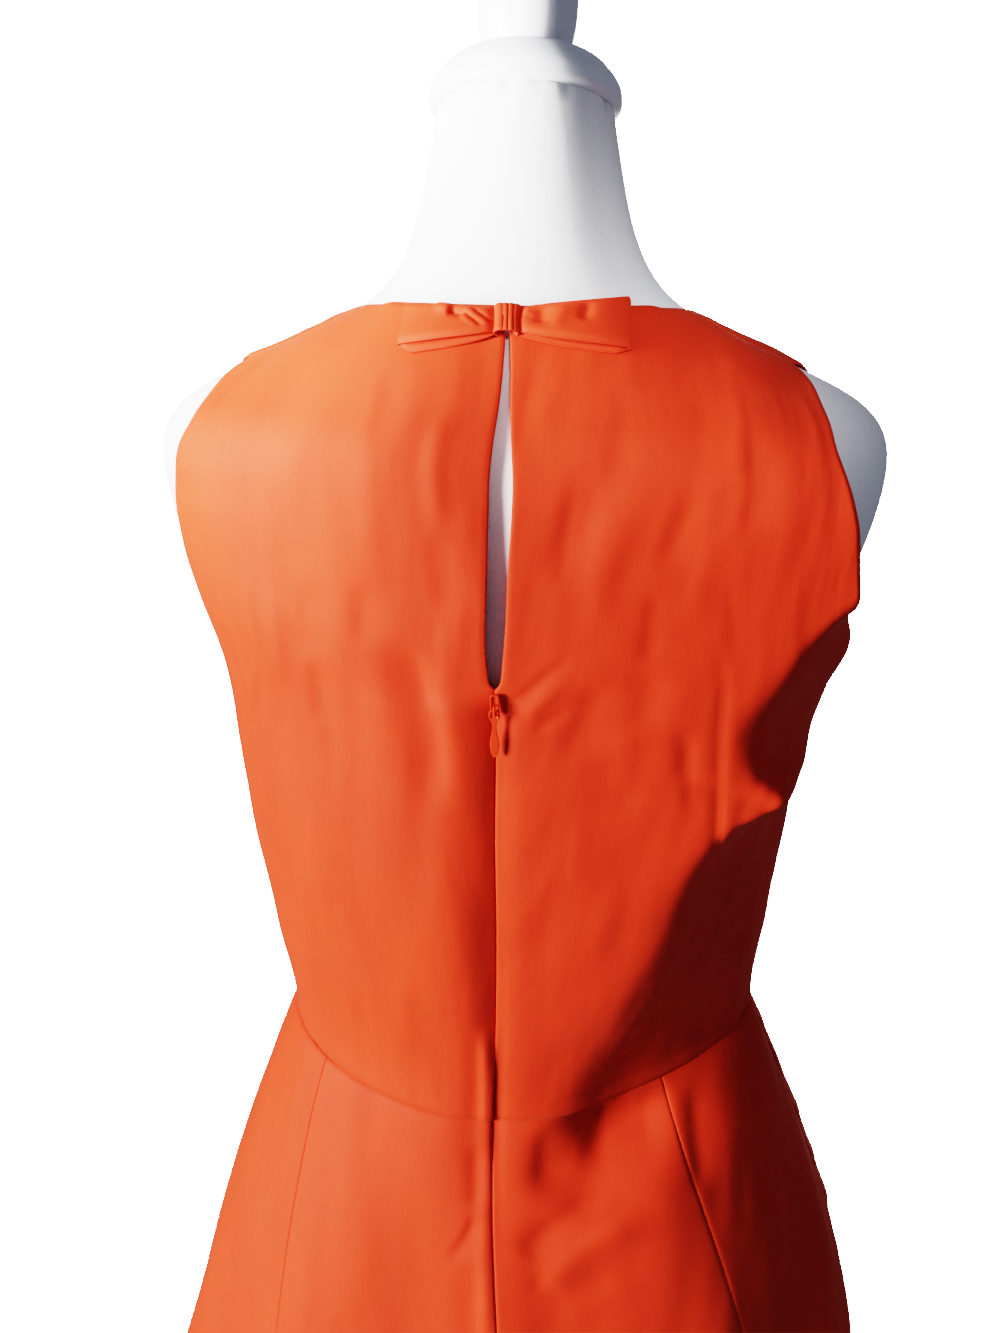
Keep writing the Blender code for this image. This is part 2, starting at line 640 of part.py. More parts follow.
def build_bodice():
    for side, sign in SIDE.items():
        pattern = back_pattern(side)
        around, height = pattern[..., 0], pattern[..., 1]
        points, normal = worn("back", around * sign, height)
        cloth("bodice_back_" + side, points, normal, ORANGE)
    pattern = front_pattern()
    points, normal = worn("front", pattern[..., 0], pattern[..., 1])
    cloth("bodice_front", points, normal, ORANGE)


def flared_panel(name, rows, length, starts, ends, columns, row_count, flute=0.0):
    """A piece of the peplum or skirt between two seams, from the waist seam down."""
    drop = (length * np.linspace(0, 1, row_count) ** 1.15)[:, None]
    gap = SEAM_GAP / 2 / smooth(rows, "back", drop)
    first, last = starts(drop) + gap, ends(drop) - gap
    turn = first + (last - first) * np.linspace(0, 1, columns)[None, :]
    drop = drop + np.zeros_like(turn)

    def point(a, b):
        return flared_point(rows, a, b, flute)

    normal = outward(point, turn, drop)
    level = np.clip(1 - drop / 0.02, 0, 1)[..., None]
    normal *= 1 - level * [0, 0, 1]
    normal /= np.linalg.norm(normal, axis=-1, keepdims=True)
    points = point(turn, drop)
    points[..., 2] -= SEAM_GAP / 2
    cloth(name, points, normal, ORANGE)


def seam(column):
    return lambda drop: np.radians(smooth(SEAMS, column, drop))


def side_seam(sign):
    return lambda drop: np.full_like(drop, sign * pi / 2)


def front_seam(drop):
    return np.full_like(drop, 3 * pi / 2)


def build_peplum():
    pieces = [
        ("peplum_back_left", seam("centre"), seam("left"), 8),
        ("peplum_back_right", seam("right"), seam("centre"), 8),
        ("peplum_side_left", seam("left"), side_seam(1), 8),
        ("peplum_side_right", side_seam(-1), seam("right"), 9),
        ("peplum_front", side_seam(1), front_seam, 29),
    ]
    for name, starts, ends, columns in pieces:
        flared_panel(name, PEPLUM, PEPLUM_LENGTH, starts, ends, columns, 9, FLUTE_DEPTH)


def build_skirt():
    pieces = [
        ("skirt_back_left", seam("centre"), side_seam(1), 10),
        ("skirt_back_right", side_seam(-1), seam("centre"), 10),
        ("skirt_front", side_seam(1), front_seam, 19),
    ]
    for name, starts, ends, columns in pieces:
        flared_panel(name, SKIRT, SKIRT_LENGTH, starts, ends, columns, 12)


# ---------------------------------------------------------------- the bow
def off_back(around, height, lift):
    """A point that stands lift off the outer face of the back."""
    points, normal = worn("back", around, height)
    return points + normal * (CLOTH + lift)[..., None]


def build_bow():
    start = KNOT_HALF + SEAM_GAP
    fold = np.radians(np.linspace(-60, 60, 4))
    out = np.linspace(0, 1, 8)
    under = BOW_CLEARANCE + CLOTH / 2
    puff = under + BOW_LAYERS + BOW_LIFT * np.sin(pi * out[::-1]) ** 0.8
    lift = np.concatenate(
        [np.full(len(out), under), under + BOW_LAYERS / 2 * (1 + np.sin(fold)), puff]
    )
    share = np.linspace(0, 1, 4)[:, None]
    upper = np.clip((lift - under) / BOW_LAYERS, 0, 1)[None, :]
    height = BOW_BOTTOM - BOW_UNDER_DROP * (1 - upper) + (BOW_TOP - BOW_BOTTOM) * share
    for side, sign in SIDE.items():
        reach = BOW_REACH[side] - BOW_LAYERS / 2
        straight = start + (reach - start) * out
        along = np.concatenate([straight, reach + BOW_LAYERS / 2 * np.cos(fold), straight[::-1]])
        path = np.stack([along, lift], -1)
        direction = np.gradient(path, axis=0)
        direction /= np.linalg.norm(direction, axis=1, keepdims=True)
        away = np.stack([direction[:, 1], -direction[:, 0]], -1)
        wider = 1 + BOW_FLARE / reach * (1 - 2 * share) * along[None, :] / reach
        layers = []
        for offset in (-CLOTH / 2, CLOTH / 2):
            edge = path + away * offset
            around = BOW_MIDDLE + sign * edge[None, :, 0] * wider
            layers.append(off_back(around, height, edge[None, :, 1] + np.zeros_like(around)))
        mesh = closed("bow_loop_" + side, *layers)
        add("bow_loop_" + side, mesh, ORANGE, 0.7)

    across = np.linspace(-1, 1, 9)[None, :]
    share = np.linspace(0, 1, 7)[:, None]
    height = BOW_BOTTOM + 0.0005 + (BOW_TOP - BOW_BOTTOM - 0.001) * share + 0 * across
    around = BOW_MIDDLE + KNOT_HALF * across + 0 * share
    front = KNOT_EDGE + (KNOT_LIFT - KNOT_EDGE) * np.sqrt(np.clip(1 - across**2, 0, 1))
    front = front * (0.75 + 0.25 * np.sin(pi * share))
    mesh = closed(
        "bow_knot",
        off_back(around, height, np.full_like(around, BOW_CLEARANCE)),
        off_back(around, height, front),
    )
    add("bow_knot", mesh, ORANGE, 0.7)


# ---------------------------------------------------------------- the zip
def build_tape():
    """The zip's tape, behind the centre back seam, from the opening to the waist."""
    height = np.linspace(ZIP_END, KEYHOLE_BOTTOM - 0.002, 12)[:, None]
    around = smooth(EASE, "centre_back", height) + TAPE_HALF * np.linspace(-1, 1, 5)[None, :]
    height = height + np.zeros_like(around)
    points, normal = worn("back", around, height)
    inner = points - normal * (TAPE_CLEARANCE + TAPE)
    add("zip_tape", closed("zip_tape", inner, points - normal * TAPE_CLEARANCE), ORANGE, 0.7)


def hinge_place():
    """The pull's hinge: inside the slider's bridge, on the centre back line."""
    height = np.array(SLIDER_BOTTOM + BRIDGE_START + BRIDGE_REACH)
    around = smooth(EASE, "centre_back", height)
    lift = SEAM_GAP + SLIDER_PLATE + BRIDGE_ROOM / 2
    return Vector(off_back(around, height, np.array(lift)).tolist())


def rounded(half_x, half_z, corner, steps=4):
    """A rectangle with round corners, as points (x, z) in order."""
    points = []
    for quadrant in range(4):
        for step in range(steps + 1):
            angle = (quadrant + step / steps) * pi / 2
            middle_x = (1, -1, -1, 1)[quadrant] * (half_x - corner)
            middle_z = (1, 1, -1, -1)[quadrant] * (half_z - corner)
            points.append((middle_x + corner * cos(angle), middle_z + corner * sin(angle)))
    return points


def build_slider(hinge):
    """A plate with a bridge over it, in one piece."""
    half_height = (SLIDER_TOP - SLIDER_BOTTOM) / 2
    plate_y = -BRIDGE_ROOM / 2 - SLIDER_PLATE / 2
    plate_z = half_height - BRIDGE_START - BRIDGE_REACH
    plate = bar(
        rounded(SLIDER_HALF, half_height, SLIDER_CORNER),
        SLIDER_PLATE / 2,
        Matrix.Translation((0, plate_y, plate_z)),
    )
    body = bpy.data.objects.new("zip_slider", plate)
    bpy.context.scene.collection.objects.link(body)

    outer_top = BRIDGE_ROOM / 2 + BRIDGE_WALL
    inner_top = BRIDGE_ROOM / 2
    inner_reach = BRIDGE_REACH - BRIDGE_WALL
    foot = -BRIDGE_ROOM / 2 - SLIDER_PLATE / 2
    shoulder_z, shoulder_y = BRIDGE_REACH - BRIDGE_CORNER, outer_top - BRIDGE_CORNER
    turn = np.linspace(0, pi / 2, 5)
    arc = [(shoulder_z + BRIDGE_CORNER * cos(a), shoulder_y + BRIDGE_CORNER * sin(a)) for a in turn]
    outline = [(BRIDGE_REACH, foot), *arc, *[(-z, y) for z, y in arc[::-1]], (-BRIDGE_REACH, foot)]
    outline += [(-inner_reach, foot), (-inner_reach, inner_top)]
    outline += [(inner_reach, inner_top), (inner_reach, foot)]
    stand_up = Matrix(((0, 1, 0, 0), (0, 0, 1, 0), (1, 0, 0, 0), (0, 0, 0, 1)))
    arch = bpy.data.objects.new("bridge_cutter", bar(outline, BRIDGE_HALF, stand_up))
    bpy.context.scene.collection.objects.link(arch)
    join = body.modifiers.new("bridge", "BOOLEAN")
    join.operation = "UNION"
    join.object = arch
    arch.hide_render = True
    arch.display_type = "WIRE"
    arch.location = hinge
    body.location = hinge
    plate.materials.append(finish("zip_slider_finish", ORANGE, 0.4))


def build_pull(hinge):
    """A teardrop with an eye, hinged in the slider's bridge."""
    half_bar = PULL_THICK / 2
    eye_middle = -(PULL_HOLE_END + half_bar) / 2
    outline = []
    for angle in np.linspace(pi, 0, 9):
        rise = min(half_bar, eye_middle + PULL_EYE_ROUND * sin(angle))
        outline.append((PULL_EYE_HALF * cos(angle), rise))
    outline += [(row.half, -row.drop) for row in PULL]
    outline += [(0, -PULL_LENGTH)]
    outline += [(-row.half, -row.drop) for row in PULL[::-1]]
    hole = rounded(PULL_HOLE_HALF, (PULL_HOLE_END - half_bar) / 2, PULL_HOLE_CORNER)
    hole = [(x, z + eye_middle) for x, z in hole]

    mesh = bar(outline, half_bar, Matrix.Identity(4))
    mesh.name = "zip_pull"
    pull = add("zip_pull", mesh, ORANGE, 0.4)
    cutter = bpy.data.objects.new("eye_cutter", bar(hole, PULL_THICK, Matrix.Identity(4)))
    bpy.context.scene.collection.objects.link(cutter)
    cutter.hide_render = True
    cutter.display_type = "WIRE"
    cut = pull.modifiers.new("eye", "BOOLEAN")
    cut.operation = "DIFFERENCE"
    cut.object = cutter
    for piece in (pull, cutter):
        piece.location = hinge
        piece.rotation_euler = (-PULL_LEAN, 0, 0)


def main():
    for old in list(bpy.data.objects):
        bpy.data.objects.remove(old)
    build_form()
    build_bodice()
    build_peplum()
    build_skirt()
    build_bow()
    build_tape()
    hinge = hinge_place()
    build_slider(hinge)
    build_pull(hinge)
    print("pull hinge", [round(c, 5) for c in hinge])


main()
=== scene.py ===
# %% [markdown]
# # A peplum dress on its dress form
# The dress is woven cloth, cut in panels and sewn. Each panel is made here as a thin sheet in the
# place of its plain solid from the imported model, with the folds and creases that worn cloth has.
# The form, the stand, and the zip's slider and pull are hard pieces, modelled in edit mode.

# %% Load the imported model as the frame
from collections import namedtuple
from math import cos, pi, radians, sin

import bmesh
import bpy
import numpy as np
from mathutils import Matrix, Vector


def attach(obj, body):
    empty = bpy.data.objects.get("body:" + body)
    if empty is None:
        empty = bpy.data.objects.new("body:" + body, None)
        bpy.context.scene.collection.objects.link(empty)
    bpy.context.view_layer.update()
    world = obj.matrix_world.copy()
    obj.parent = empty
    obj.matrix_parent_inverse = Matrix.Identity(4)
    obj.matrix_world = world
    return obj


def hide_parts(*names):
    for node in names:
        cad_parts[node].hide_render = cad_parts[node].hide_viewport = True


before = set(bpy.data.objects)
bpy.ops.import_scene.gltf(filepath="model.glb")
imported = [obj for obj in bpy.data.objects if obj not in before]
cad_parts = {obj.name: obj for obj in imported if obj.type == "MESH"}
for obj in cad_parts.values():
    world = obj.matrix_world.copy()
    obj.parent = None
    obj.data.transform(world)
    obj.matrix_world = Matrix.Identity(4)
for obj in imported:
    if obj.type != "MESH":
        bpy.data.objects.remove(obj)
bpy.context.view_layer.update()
print("nodes:", ", ".join(sorted(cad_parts)))

# %% [markdown]
# ## Camera
# It stands behind the dress at a standing person's eye height, a little to one side, and looks
# down at the middle of the back. The field of view is wide because it stands close.

# %% Camera
EYE = Vector((-0.0338, 0.7009, 1.5724))
PAN, PITCH = 0.0635, 0.4128
LENS = 37.81  # millimetres, on a 36 mm sensor

ahead = Vector((sin(PAN) * cos(PITCH), -cos(PAN) * cos(PITCH), -sin(PITCH)))
right = Vector((-cos(PAN), -sin(PAN), 0))
turn = Matrix((right, right.cross(ahead), -ahead)).transposed()
camera = bpy.data.objects.new("camera", bpy.data.cameras.new("camera"))
camera.data.lens = LENS
camera.data.sensor_width = 36
camera.matrix_world = Matrix.Translation(EYE) @ turn.to_4x4()
bpy.context.scene.collection.objects.link(camera)
bpy.context.scene.camera = camera
print("camera at", [round(c, 3) for c in EYE])

# %% [markdown]
# ## The body under the cloth
# A dressmaker measures a body in sections: half its width, and how far it goes back and front, at
# a row of heights. Each table has a row for each section, counted in metres up from the waist. A
# smooth curve through the rows gives every height between them.

# %% Sections of the dress form, and how far the dress stands off it
WAIST_HEIGHT = 1.050
CLOTH = 0.0012  # how far the dress's outer face is from the inner face of its solid
SEAM_GAP = 0.0003
SIDE = {"left": 1, "right": -1}


def table(kind, rows):
    """The rows of a table, with the names of their columns."""
    return [kind(*row) for row in rows]


FormRow = namedtuple("FormRow", "height half_width back front middle roundness")
FORM = table(FormRow, [
    (-0.270, 0.1500, 0.0960, 0.0920, 0.000, 2.20),
    (-0.200, 0.1660, 0.1120, 0.0980, 0.000, 2.30),
    (-0.130, 0.1560, 0.1030, 0.0950, 0.000, 2.30),
    (-0.060, 0.1300, 0.0860, 0.0880, 0.000, 2.30),
    (0.000, 0.1160, 0.0750, 0.0820, 0.000, 2.20),
    (0.070, 0.1270, 0.0830, 0.0960, 0.000, 2.20),
    (0.130, 0.1400, 0.0920, 0.1140, 0.000, 2.20),
    (0.180, 0.1480, 0.0970, 0.1200, 0.000, 2.20),
    (0.230, 0.1560, 0.1000, 0.1120, 0.000, 2.10),
    (0.270, 0.1700, 0.1000, 0.1020, 0.000, 2.10),
    (0.300, 0.1810, 0.0980, 0.0940, 0.000, 2.00),
    (0.330, 0.1865, 0.0940, 0.0880, 0.000, 2.00),
    (0.350, 0.1840, 0.0890, 0.0820, 0.000, 2.00),
    (0.364, 0.1710, 0.0830, 0.0770, 0.000, 1.90),
    (0.375, 0.1480, 0.0780, 0.0720, -0.002, 1.80),
    (0.386, 0.1230, 0.0730, 0.0670, -0.004, 1.75),
    (0.398, 0.0950, 0.0670, 0.0600, -0.007, 1.80),
    (0.409, 0.0760, 0.0600, 0.0540, -0.010, 1.90),
    (0.421, 0.0640, 0.0540, 0.0500, -0.013, 2.00),
])
EaseRow = namedtuple("EaseRow", "height side back front shift centre_back")
EASE = table(EaseRow, [
    (0.000, 0.0195, 0.0205, 0.0180, -0.0035, 0.0080),
    (0.050, 0.0175, 0.0180, 0.0140, -0.0025, 0.0062),
    (0.110, 0.0120, 0.0140, 0.0080, -0.0010, 0.0045),
    (0.160, 0.0075, 0.0105, 0.0055, 0.0000, 0.0040),
    (0.200, 0.0050, 0.0085, 0.0055, 0.0000, 0.0040),
    (0.250, 0.0040, 0.0080, 0.0050, 0.0005, 0.0042),
    (0.300, 0.0045, 0.0070, 0.0050, 0.0025, 0.0025),
    (0.340, 0.0055, 0.0065, 0.0060, 0.0025, 0.0015),
    (0.375, 0.0065, 0.0068, 0.0080, 0.0015, 0.0025),
    (0.420, 0.0070, 0.0045, 0.0095, -0.0010, 0.0050),
])


def smooth(rows, column, at):
    """Reads a column of a table at any height or drop, along a smooth curve."""
    x = np.array([row[0] for row in rows])
    y = np.array([getattr(row, column) for row in rows])
    step = np.diff(x)
    rise = np.diff(y) / step
    slope = np.empty_like(y)
    slope[1:-1] = (rise[:-1] * step[1:] + rise[1:] * step[:-1]) / (step[:-1] + step[1:])
    slope[0], slope[-1] = rise[0], rise[-1]
    at = np.clip(np.asarray(at, float), x[0], x[-1])
    i = np.clip(np.searchsorted(x, at) - 1, 0, len(x) - 2)
    t = (at - x[i]) / step[i]
    ends = y[i] * (1 + 2 * t) * (1 - t) ** 2 + y[i + 1] * t * t * (3 - 2 * t)
    return ends + step[i] * (slope[i] * t * (1 - t) ** 2 - slope[i + 1] * t * t * (1 - t))


def on_ring(turn, half_width, back, front, roundness):
    """A point of a rounded section; turn 0 is the centre back, a quarter turn is +X."""
    across, rear = np.sin(turn), np.cos(turn)
    depth = np.where(rear > 0, back, front)
    power = 2.0 / roundness
    x = half_width * np.sign(across) * np.abs(across) ** power
    y = depth * np.sign(rear) * np.abs(rear) ** power
    return x, y


def place(x, y, height):
    """Stacks coordinates into points, with heights counted from the waist."""
    return np.stack(np.broadcast_arrays(x, y, np.asarray(height) + WAIST_HEIGHT), -1)


def worn_section(height):
    """Half width, back, front and roundness of the bodice's inner face."""
    sizes = [
        smooth(FORM, on_form, height) + smooth(EASE, ease, height)
        for on_form, ease in (("half_width", "side"), ("back", "back"), ("front", "front"))
    ]
    return *sizes, smooth(FORM, "roundness", height)


def worn_point(turn, height):
    """A point of the bodice's plain section."""
    x, y = on_ring(turn, *worn_section(height))
    middle = smooth(FORM, "middle", height)
    return place(x + smooth(EASE, "shift", height), y + middle, height)


def quarter(height, face):
    """About a quarter of the way round the bodice, at its back or its front."""
    half_width, back, front, _ = worn_section(height)
    depth = back if face == "back" else front
    return pi / 2 * np.sqrt((half_width**2 + depth**2) / 2)


def outward(point, a, b, step=1e-4):
    """Unit normals of point(a, b), a surface whose a runs round and b runs up or down."""
    round_it = point(a + step, b) - point(a - step, b)
    along_it = point(a, b + step) - point(a, b - step)
    normal = np.cross(round_it, along_it)
    normal /= np.linalg.norm(normal, axis=-1, keepdims=True)
    middle = point(a, b) * [1, 1, 0]
    return normal * np.sign((normal * middle).sum(-1, keepdims=True))


print("half width of the worn bodice at the waist:", round(float(worn_section(0.0)[0]), 4))

# %% [markdown]
# ## How the right back hangs
# The cloth is stiff enough to bridge hollows. On the right it runs nearly flat from the shoulder
# blade to the armhole, and a long fold slants from there down to the waist. Beyond the fold it
# falls back to the side. That is one change of the plain section, shared by the bodice, the peplum
# and the skirt, so their seams stay together.

# %% The fold of the right back
WAIST_DIP = 0.0150
# By height: how far out the fold is, and how much further out than the plain section the cloth
# stands by the armhole.
FoldRow = namedtuple("FoldRow", "height out spread")
FOLD = table(FoldRow, [
    (-0.030, 0.0250, 0.0000),
    (0.000, 0.0290, 0.0000),
    (0.020, 0.0357, 0.0000),
    (0.042, 0.0458, 0.0000),
    (0.060, 0.0548, 0.0000),
    (0.085, 0.0655, 0.0000),
    (0.125, 0.0810, 0.0000),
    (0.160, 0.1010, 0.0000),
    (0.173, 0.1130, 0.0000),
    (0.187, 0.1350, 0.0010),
    (0.201, 0.1190, 0.0042),
    (0.220, 0.1100, 0.0090),
    (0.250, 0.1200, 0.0125),
    (0.275, 0.1420, 0.0035),
    (0.300, 0.1720, 0.0000),
    (0.335, 0.2000, -0.0040),
    (0.360, 0.2000, -0.0090),
    (0.380, 0.2000, -0.0110),
])
ARMHOLE_OUT = 0.150  # where the spread is as the table says
PLATE_SLOPE, PLATE_CURVE = 0.04, 0.40
FLANK_POWER = 0.66  # how steeply the cloth falls back beyond the fold
FLANK_LEAST = 0.010
FOLD_SOFTNESS = 0.004
# How much of that hang there is, by height above the waist seam or, below 0, the drop from it.
HangRow = namedtuple("HangRow", "above share")
HANG = table(HangRow, [
    (-0.080, 0.00),
    (-0.035, 0.12),
    (-0.012, 0.50),
    (0.006, 0.96),
    (0.030, 1.00),
    (0.180, 1.00),
    (0.340, 1.00),
    (0.358, 0.85),
    (0.372, 0.40),
    (0.384, 0.00),
    (0.420, 0.00),
])


def seam_drop(turn):
    """How far the waist seam lies below the waist at its sides."""
    return WAIST_DIP * np.clip(np.cos(turn), 0, 1) ** 2


def hang(points, half_width, crest, above):
    """Moves the right back from its plain section to the plate and the flank beyond its fold."""
    out = np.clip(-points[..., 0], 0, None)
    fold = smooth(FOLD, "out", points[..., 2] - WAIST_HEIGHT)
    plate = crest - PLATE_SLOPE * out - PLATE_CURVE * out**2
    at_fold = crest - PLATE_SLOPE * fold - PLATE_CURVE * fold**2
    past = (out - fold) / np.maximum(half_width - fold, FLANK_LEAST)
    falling = np.clip(1 - past, 0, 1) ** FLANK_POWER
    flank = at_fold * np.where(past > 0, falling, 1 - FLANK_POWER * past)
    target = plate - FOLD_SOFTNESS * np.logaddexp(0, (plate - flank) / FOLD_SOFTNESS)
    target = np.maximum(target, 0)
    share = np.clip(smooth(HANG, "share", above), 0, 1)
    share = np.where((points[..., 1] > 0) & (out > 0), share, 0)
    spread = smooth(FOLD, "spread", points[..., 2] - WAIST_HEIGHT) * (out / ARMHOLE_OUT) ** 3
    moved = points.copy()
    moved[..., 0] -= share * spread
    moved[..., 1] += share * (target - points[..., 1])
    return moved


def back_point(turn, height):
    """A point of the bodice's inner face at the back, as it hangs."""
    half_width, back, _, _ = worn_section(height)
    half_width = half_width - smooth(EASE, "shift", height)
    crest = back + smooth(FORM, "middle", height)
    return hang(worn_point(turn, height), half_width, crest, height + seam_drop(turn))


print("the fold is", round(float(smooth(FOLD, "out", 0.1)), 3), "m out at 0.1 m above the waist")

# %% [markdown]
# ## Cutting the bodice
# On a cutting table a bodice piece is flat: its place is a distance round the body, from the
# centre seam, and a height above the waist. Four edges give its outline. The points between them
# are spread evenly, so that one regular grid of faces fills the whole piece.

# %% Edges of the pieces
NECK_CENTRE_BACK, NECK_CENTRE_FRONT = 0.4165, 0.3720
NECK_POINT, SHOULDER_TIP = 0.4065, 0.3855
CHEST = 0.300
UNDERARM = {"left": 0.212, "right": 0.180}
UNDERARM_AS_CUT = 0.205
KEYHOLE_BOTTOM = 0.2500
KEYHOLE_ROUND = 0.004  # height of the opening's rounded foot
FRONT_SCOOP = 2.2  # how square the front neckline is

EdgeRow = namedtuple("EdgeRow", "height around")
ARMHOLE = {
    "back": table(EdgeRow, [
        (0.2085, 0.2000),
        (0.2170, 0.1870),
        (0.2320, 0.1765),
        (0.2520, 0.1690),
        (0.2760, 0.1643),
        (0.3000, 0.1617),
        (0.3250, 0.1573),
        (0.3500, 0.1505),
        (0.3680, 0.1480),
    ]),
    "front": table(EdgeRow, [
        (0.2085, 0.2050),
        (0.2170, 0.1880),
        (0.2320, 0.1740),
        (0.2520, 0.1630),
        (0.2760, 0.1540),
        (0.3000, 0.1480),
        (0.3250, 0.1445),
        (0.3500, 0.1430),
        (0.3680, 0.1470),
    ]),
}
OpeningRow = namedtuple("OpeningRow", "height half")
KEYHOLE = table(OpeningRow, [
    (KEYHOLE_BOTTOM + 0.003, 0.0023),
    (0.2700, 0.0032),
    (0.3050, 0.0041),
    (0.3500, 0.0044),
    (0.3850, 0.0032),
    (0.4030, 0.0016),
    (NECK_CENTRE_BACK, 0.0012),
])


def resample(points, count):
    """count points evenly spaced along a line through points."""
    points = np.asarray(points, float)
    length = np.concatenate([[0], np.cumsum(np.linalg.norm(np.diff(points, axis=0), axis=1))])
    at = np.linspace(0, length[-1], count)
    return np.stack([np.interp(at, length, points[:, k]) for k in range(points.shape[1])], -1)


def fill(bottom, top, left, right, passes=400):
    """A grid between four edges, rows from bottom to top, evened out inside."""
    u = np.linspace(0, 1, len(bottom))[None, :, None]
    v = np.linspace(0, 1, len(left))[:, None, None]
    grid = (1 - v) * bottom + v * top + (1 - u) * left[:, None] + u * right[:, None]
    grid -= (1 - u) * ((1 - v) * bottom[0] + v * top[0]) + u * ((1 - v) * bottom[-1] + v * top[-1])
    for _ in range(passes):
        sides = grid[1:-1, :-2] + grid[1:-1, 2:] + grid[:-2, 1:-1] + grid[2:, 1:-1]
        grid[1:-1, 1:-1] = sides / 4
    return grid


def crowded(grid, columns, pull=0.6):
    """The same grid with its columns closer together near both of its sides."""
    at = np.linspace(0, 1, columns)
    at = (at - pull * np.sin(2 * pi * at) / (2 * pi)) * (grid.shape[1] - 1)
    i = np.clip(at.astype(int), 0, grid.shape[1] - 2)
    share = (at - i)[None, :, None]
    return grid[:, i] * (1 - share) + grid[:, i + 1] * share


def armhole(face, side, count):
    """The armhole edge from the underarm to the shoulder tip."""
    stretch = (CHEST - UNDERARM[side]) / (CHEST - UNDERARM_AS_CUT)
    rows = [EdgeRow(UNDERARM[side], quarter(UNDERARM[side], face) - SEAM_GAP / 2)]
    for row in ARMHOLE[face]:
        height = CHEST - (CHEST - row.height) * stretch if row.height < CHEST else row.height
        rows.append(EdgeRow(height, row.around))
    rows.append(EdgeRow(SHOULDER_TIP, quarter(SHOULDER_TIP, face) - SEAM_GAP / 2))
    heights = np.linspace(rows[0].height, rows[-1].height, 160)
    return resample(np.stack([smooth(rows, "around", heights), heights], -1), count)


def bodice_side(face, side, seam_count, hole_count):
    """The edge of a bodice piece up its side seam and round its armhole."""
    heights = np.linspace(0, UNDERARM[side], seam_count)
    seam = np.stack([quarter(heights, face) - SEAM_GAP / 2, heights], -1)
    return np.concatenate([seam[:-1], armhole(face, side, hole_count)])


def shoulder(face, count):
    """The shoulder seam from the neck point to the shoulder tip."""
    heights = np.linspace(NECK_POINT, SHOULDER_TIP, count)
    return np.stack([quarter(heights, face) - SEAM_GAP / 2, heights], -1)


def centre_back_edge(side, heights):
    """The seam below the zip's top, and above it the edge of the opening, round at its foot."""
    open_up = np.sqrt(np.clip((heights - KEYHOLE_BOTTOM) / KEYHOLE_ROUND, 0, 1))
    half = np.maximum(smooth(KEYHOLE, "half", heights) * open_up, SEAM_GAP / 2)
    middle = smooth(EASE, "centre_back", heights) * SIDE[side]
    return np.stack([middle + half, heights], -1)


# %% Lay out the back and the front
def back_pattern(side, rows=190, columns=92):
    """One back piece: distance round the body from its middle, and height."""
    left = centre_back_edge(side, np.linspace(-WAIST_DIP, NECK_CENTRE_BACK, rows))
    seam_rows = round(rows * 0.48)
    right = bodice_side("back", side, seam_rows, rows - seam_rows + 1)
    neck_columns = round(columns * 0.55)
    seam = shoulder("back", columns - neck_columns)
    share = np.linspace(0, 1, neck_columns + 1)[:-1]
    neck_around = left[-1, 0] + (seam[0, 0] - left[-1, 0]) * share
    neck = np.stack([neck_around, NECK_CENTRE_BACK + (NECK_POINT - NECK_CENTRE_BACK) * share**2], -1)
    top = np.concatenate([neck, seam])
    around = np.linspace(left[0, 0], right[0, 0], len(top))
    drop = seam_drop(pi / 2 * around / quarter(0.0, "back")) - SEAM_GAP / 2
    return crowded(fill(np.stack([around, -drop], -1), top, left, right), 122)


def front_pattern(rows=150, shoulder_columns=26, neck_columns=67):
    """The front piece, from the wearer's right to the left, measured from the centre front."""
    seam_rows = round(rows * 0.45)
    right = bodice_side("front", "right", seam_rows, rows - seam_rows + 1) * [-1, 1]
    left = bodice_side("front", "left", seam_rows, rows - seam_rows + 1)
    seam = shoulder("front", shoulder_columns)
    share = np.linspace(-1, 1, neck_columns)
    scoop = NECK_CENTRE_FRONT + (NECK_POINT - NECK_CENTRE_FRONT) * np.abs(share) ** FRONT_SCOOP
    neck = np.stack([seam[0, 0] * share, scoop], -1)
    top = np.concatenate([seam[:0:-1] * [-1, 1], neck, seam[1:]])
    around = np.linspace(right[0, 0], left[0, 0], len(top))
    bottom = np.stack([around, np.full(len(top), SEAM_GAP / 2)], -1)
    return fill(bottom, top, right, left)


backs = {side: back_pattern(side) for side in SIDE}
front = front_pattern()
print("grids:", {side: grid.shape[:2] for side, grid in backs.items()}, "front", front.shape[:2])

# %% [markdown]
# ## Folds and creases
# Worn cloth is never even. Three things shape it here: long soft waves where it hangs free, single
# creases where it is pulled or was folded, and the roll of the cloth into each seam. A crease is a
# row in a table: where it starts and ends on the flat piece, how wide each of its flanks is, how
# deep it goes (a ridge is above 0, a trough below), how its ends die out, and how far it bows.

# %% Tools for folds
Crease = namedtuple(
    "Crease",
    "around height end_around end_height width far_width depth fade_in fade_out bow",
    defaults=(0.30, 0.30, 0.0),
)


def ease_in(t):
    t = np.clip(t, 0, 1)
    return t * t * (3 - 2 * t)


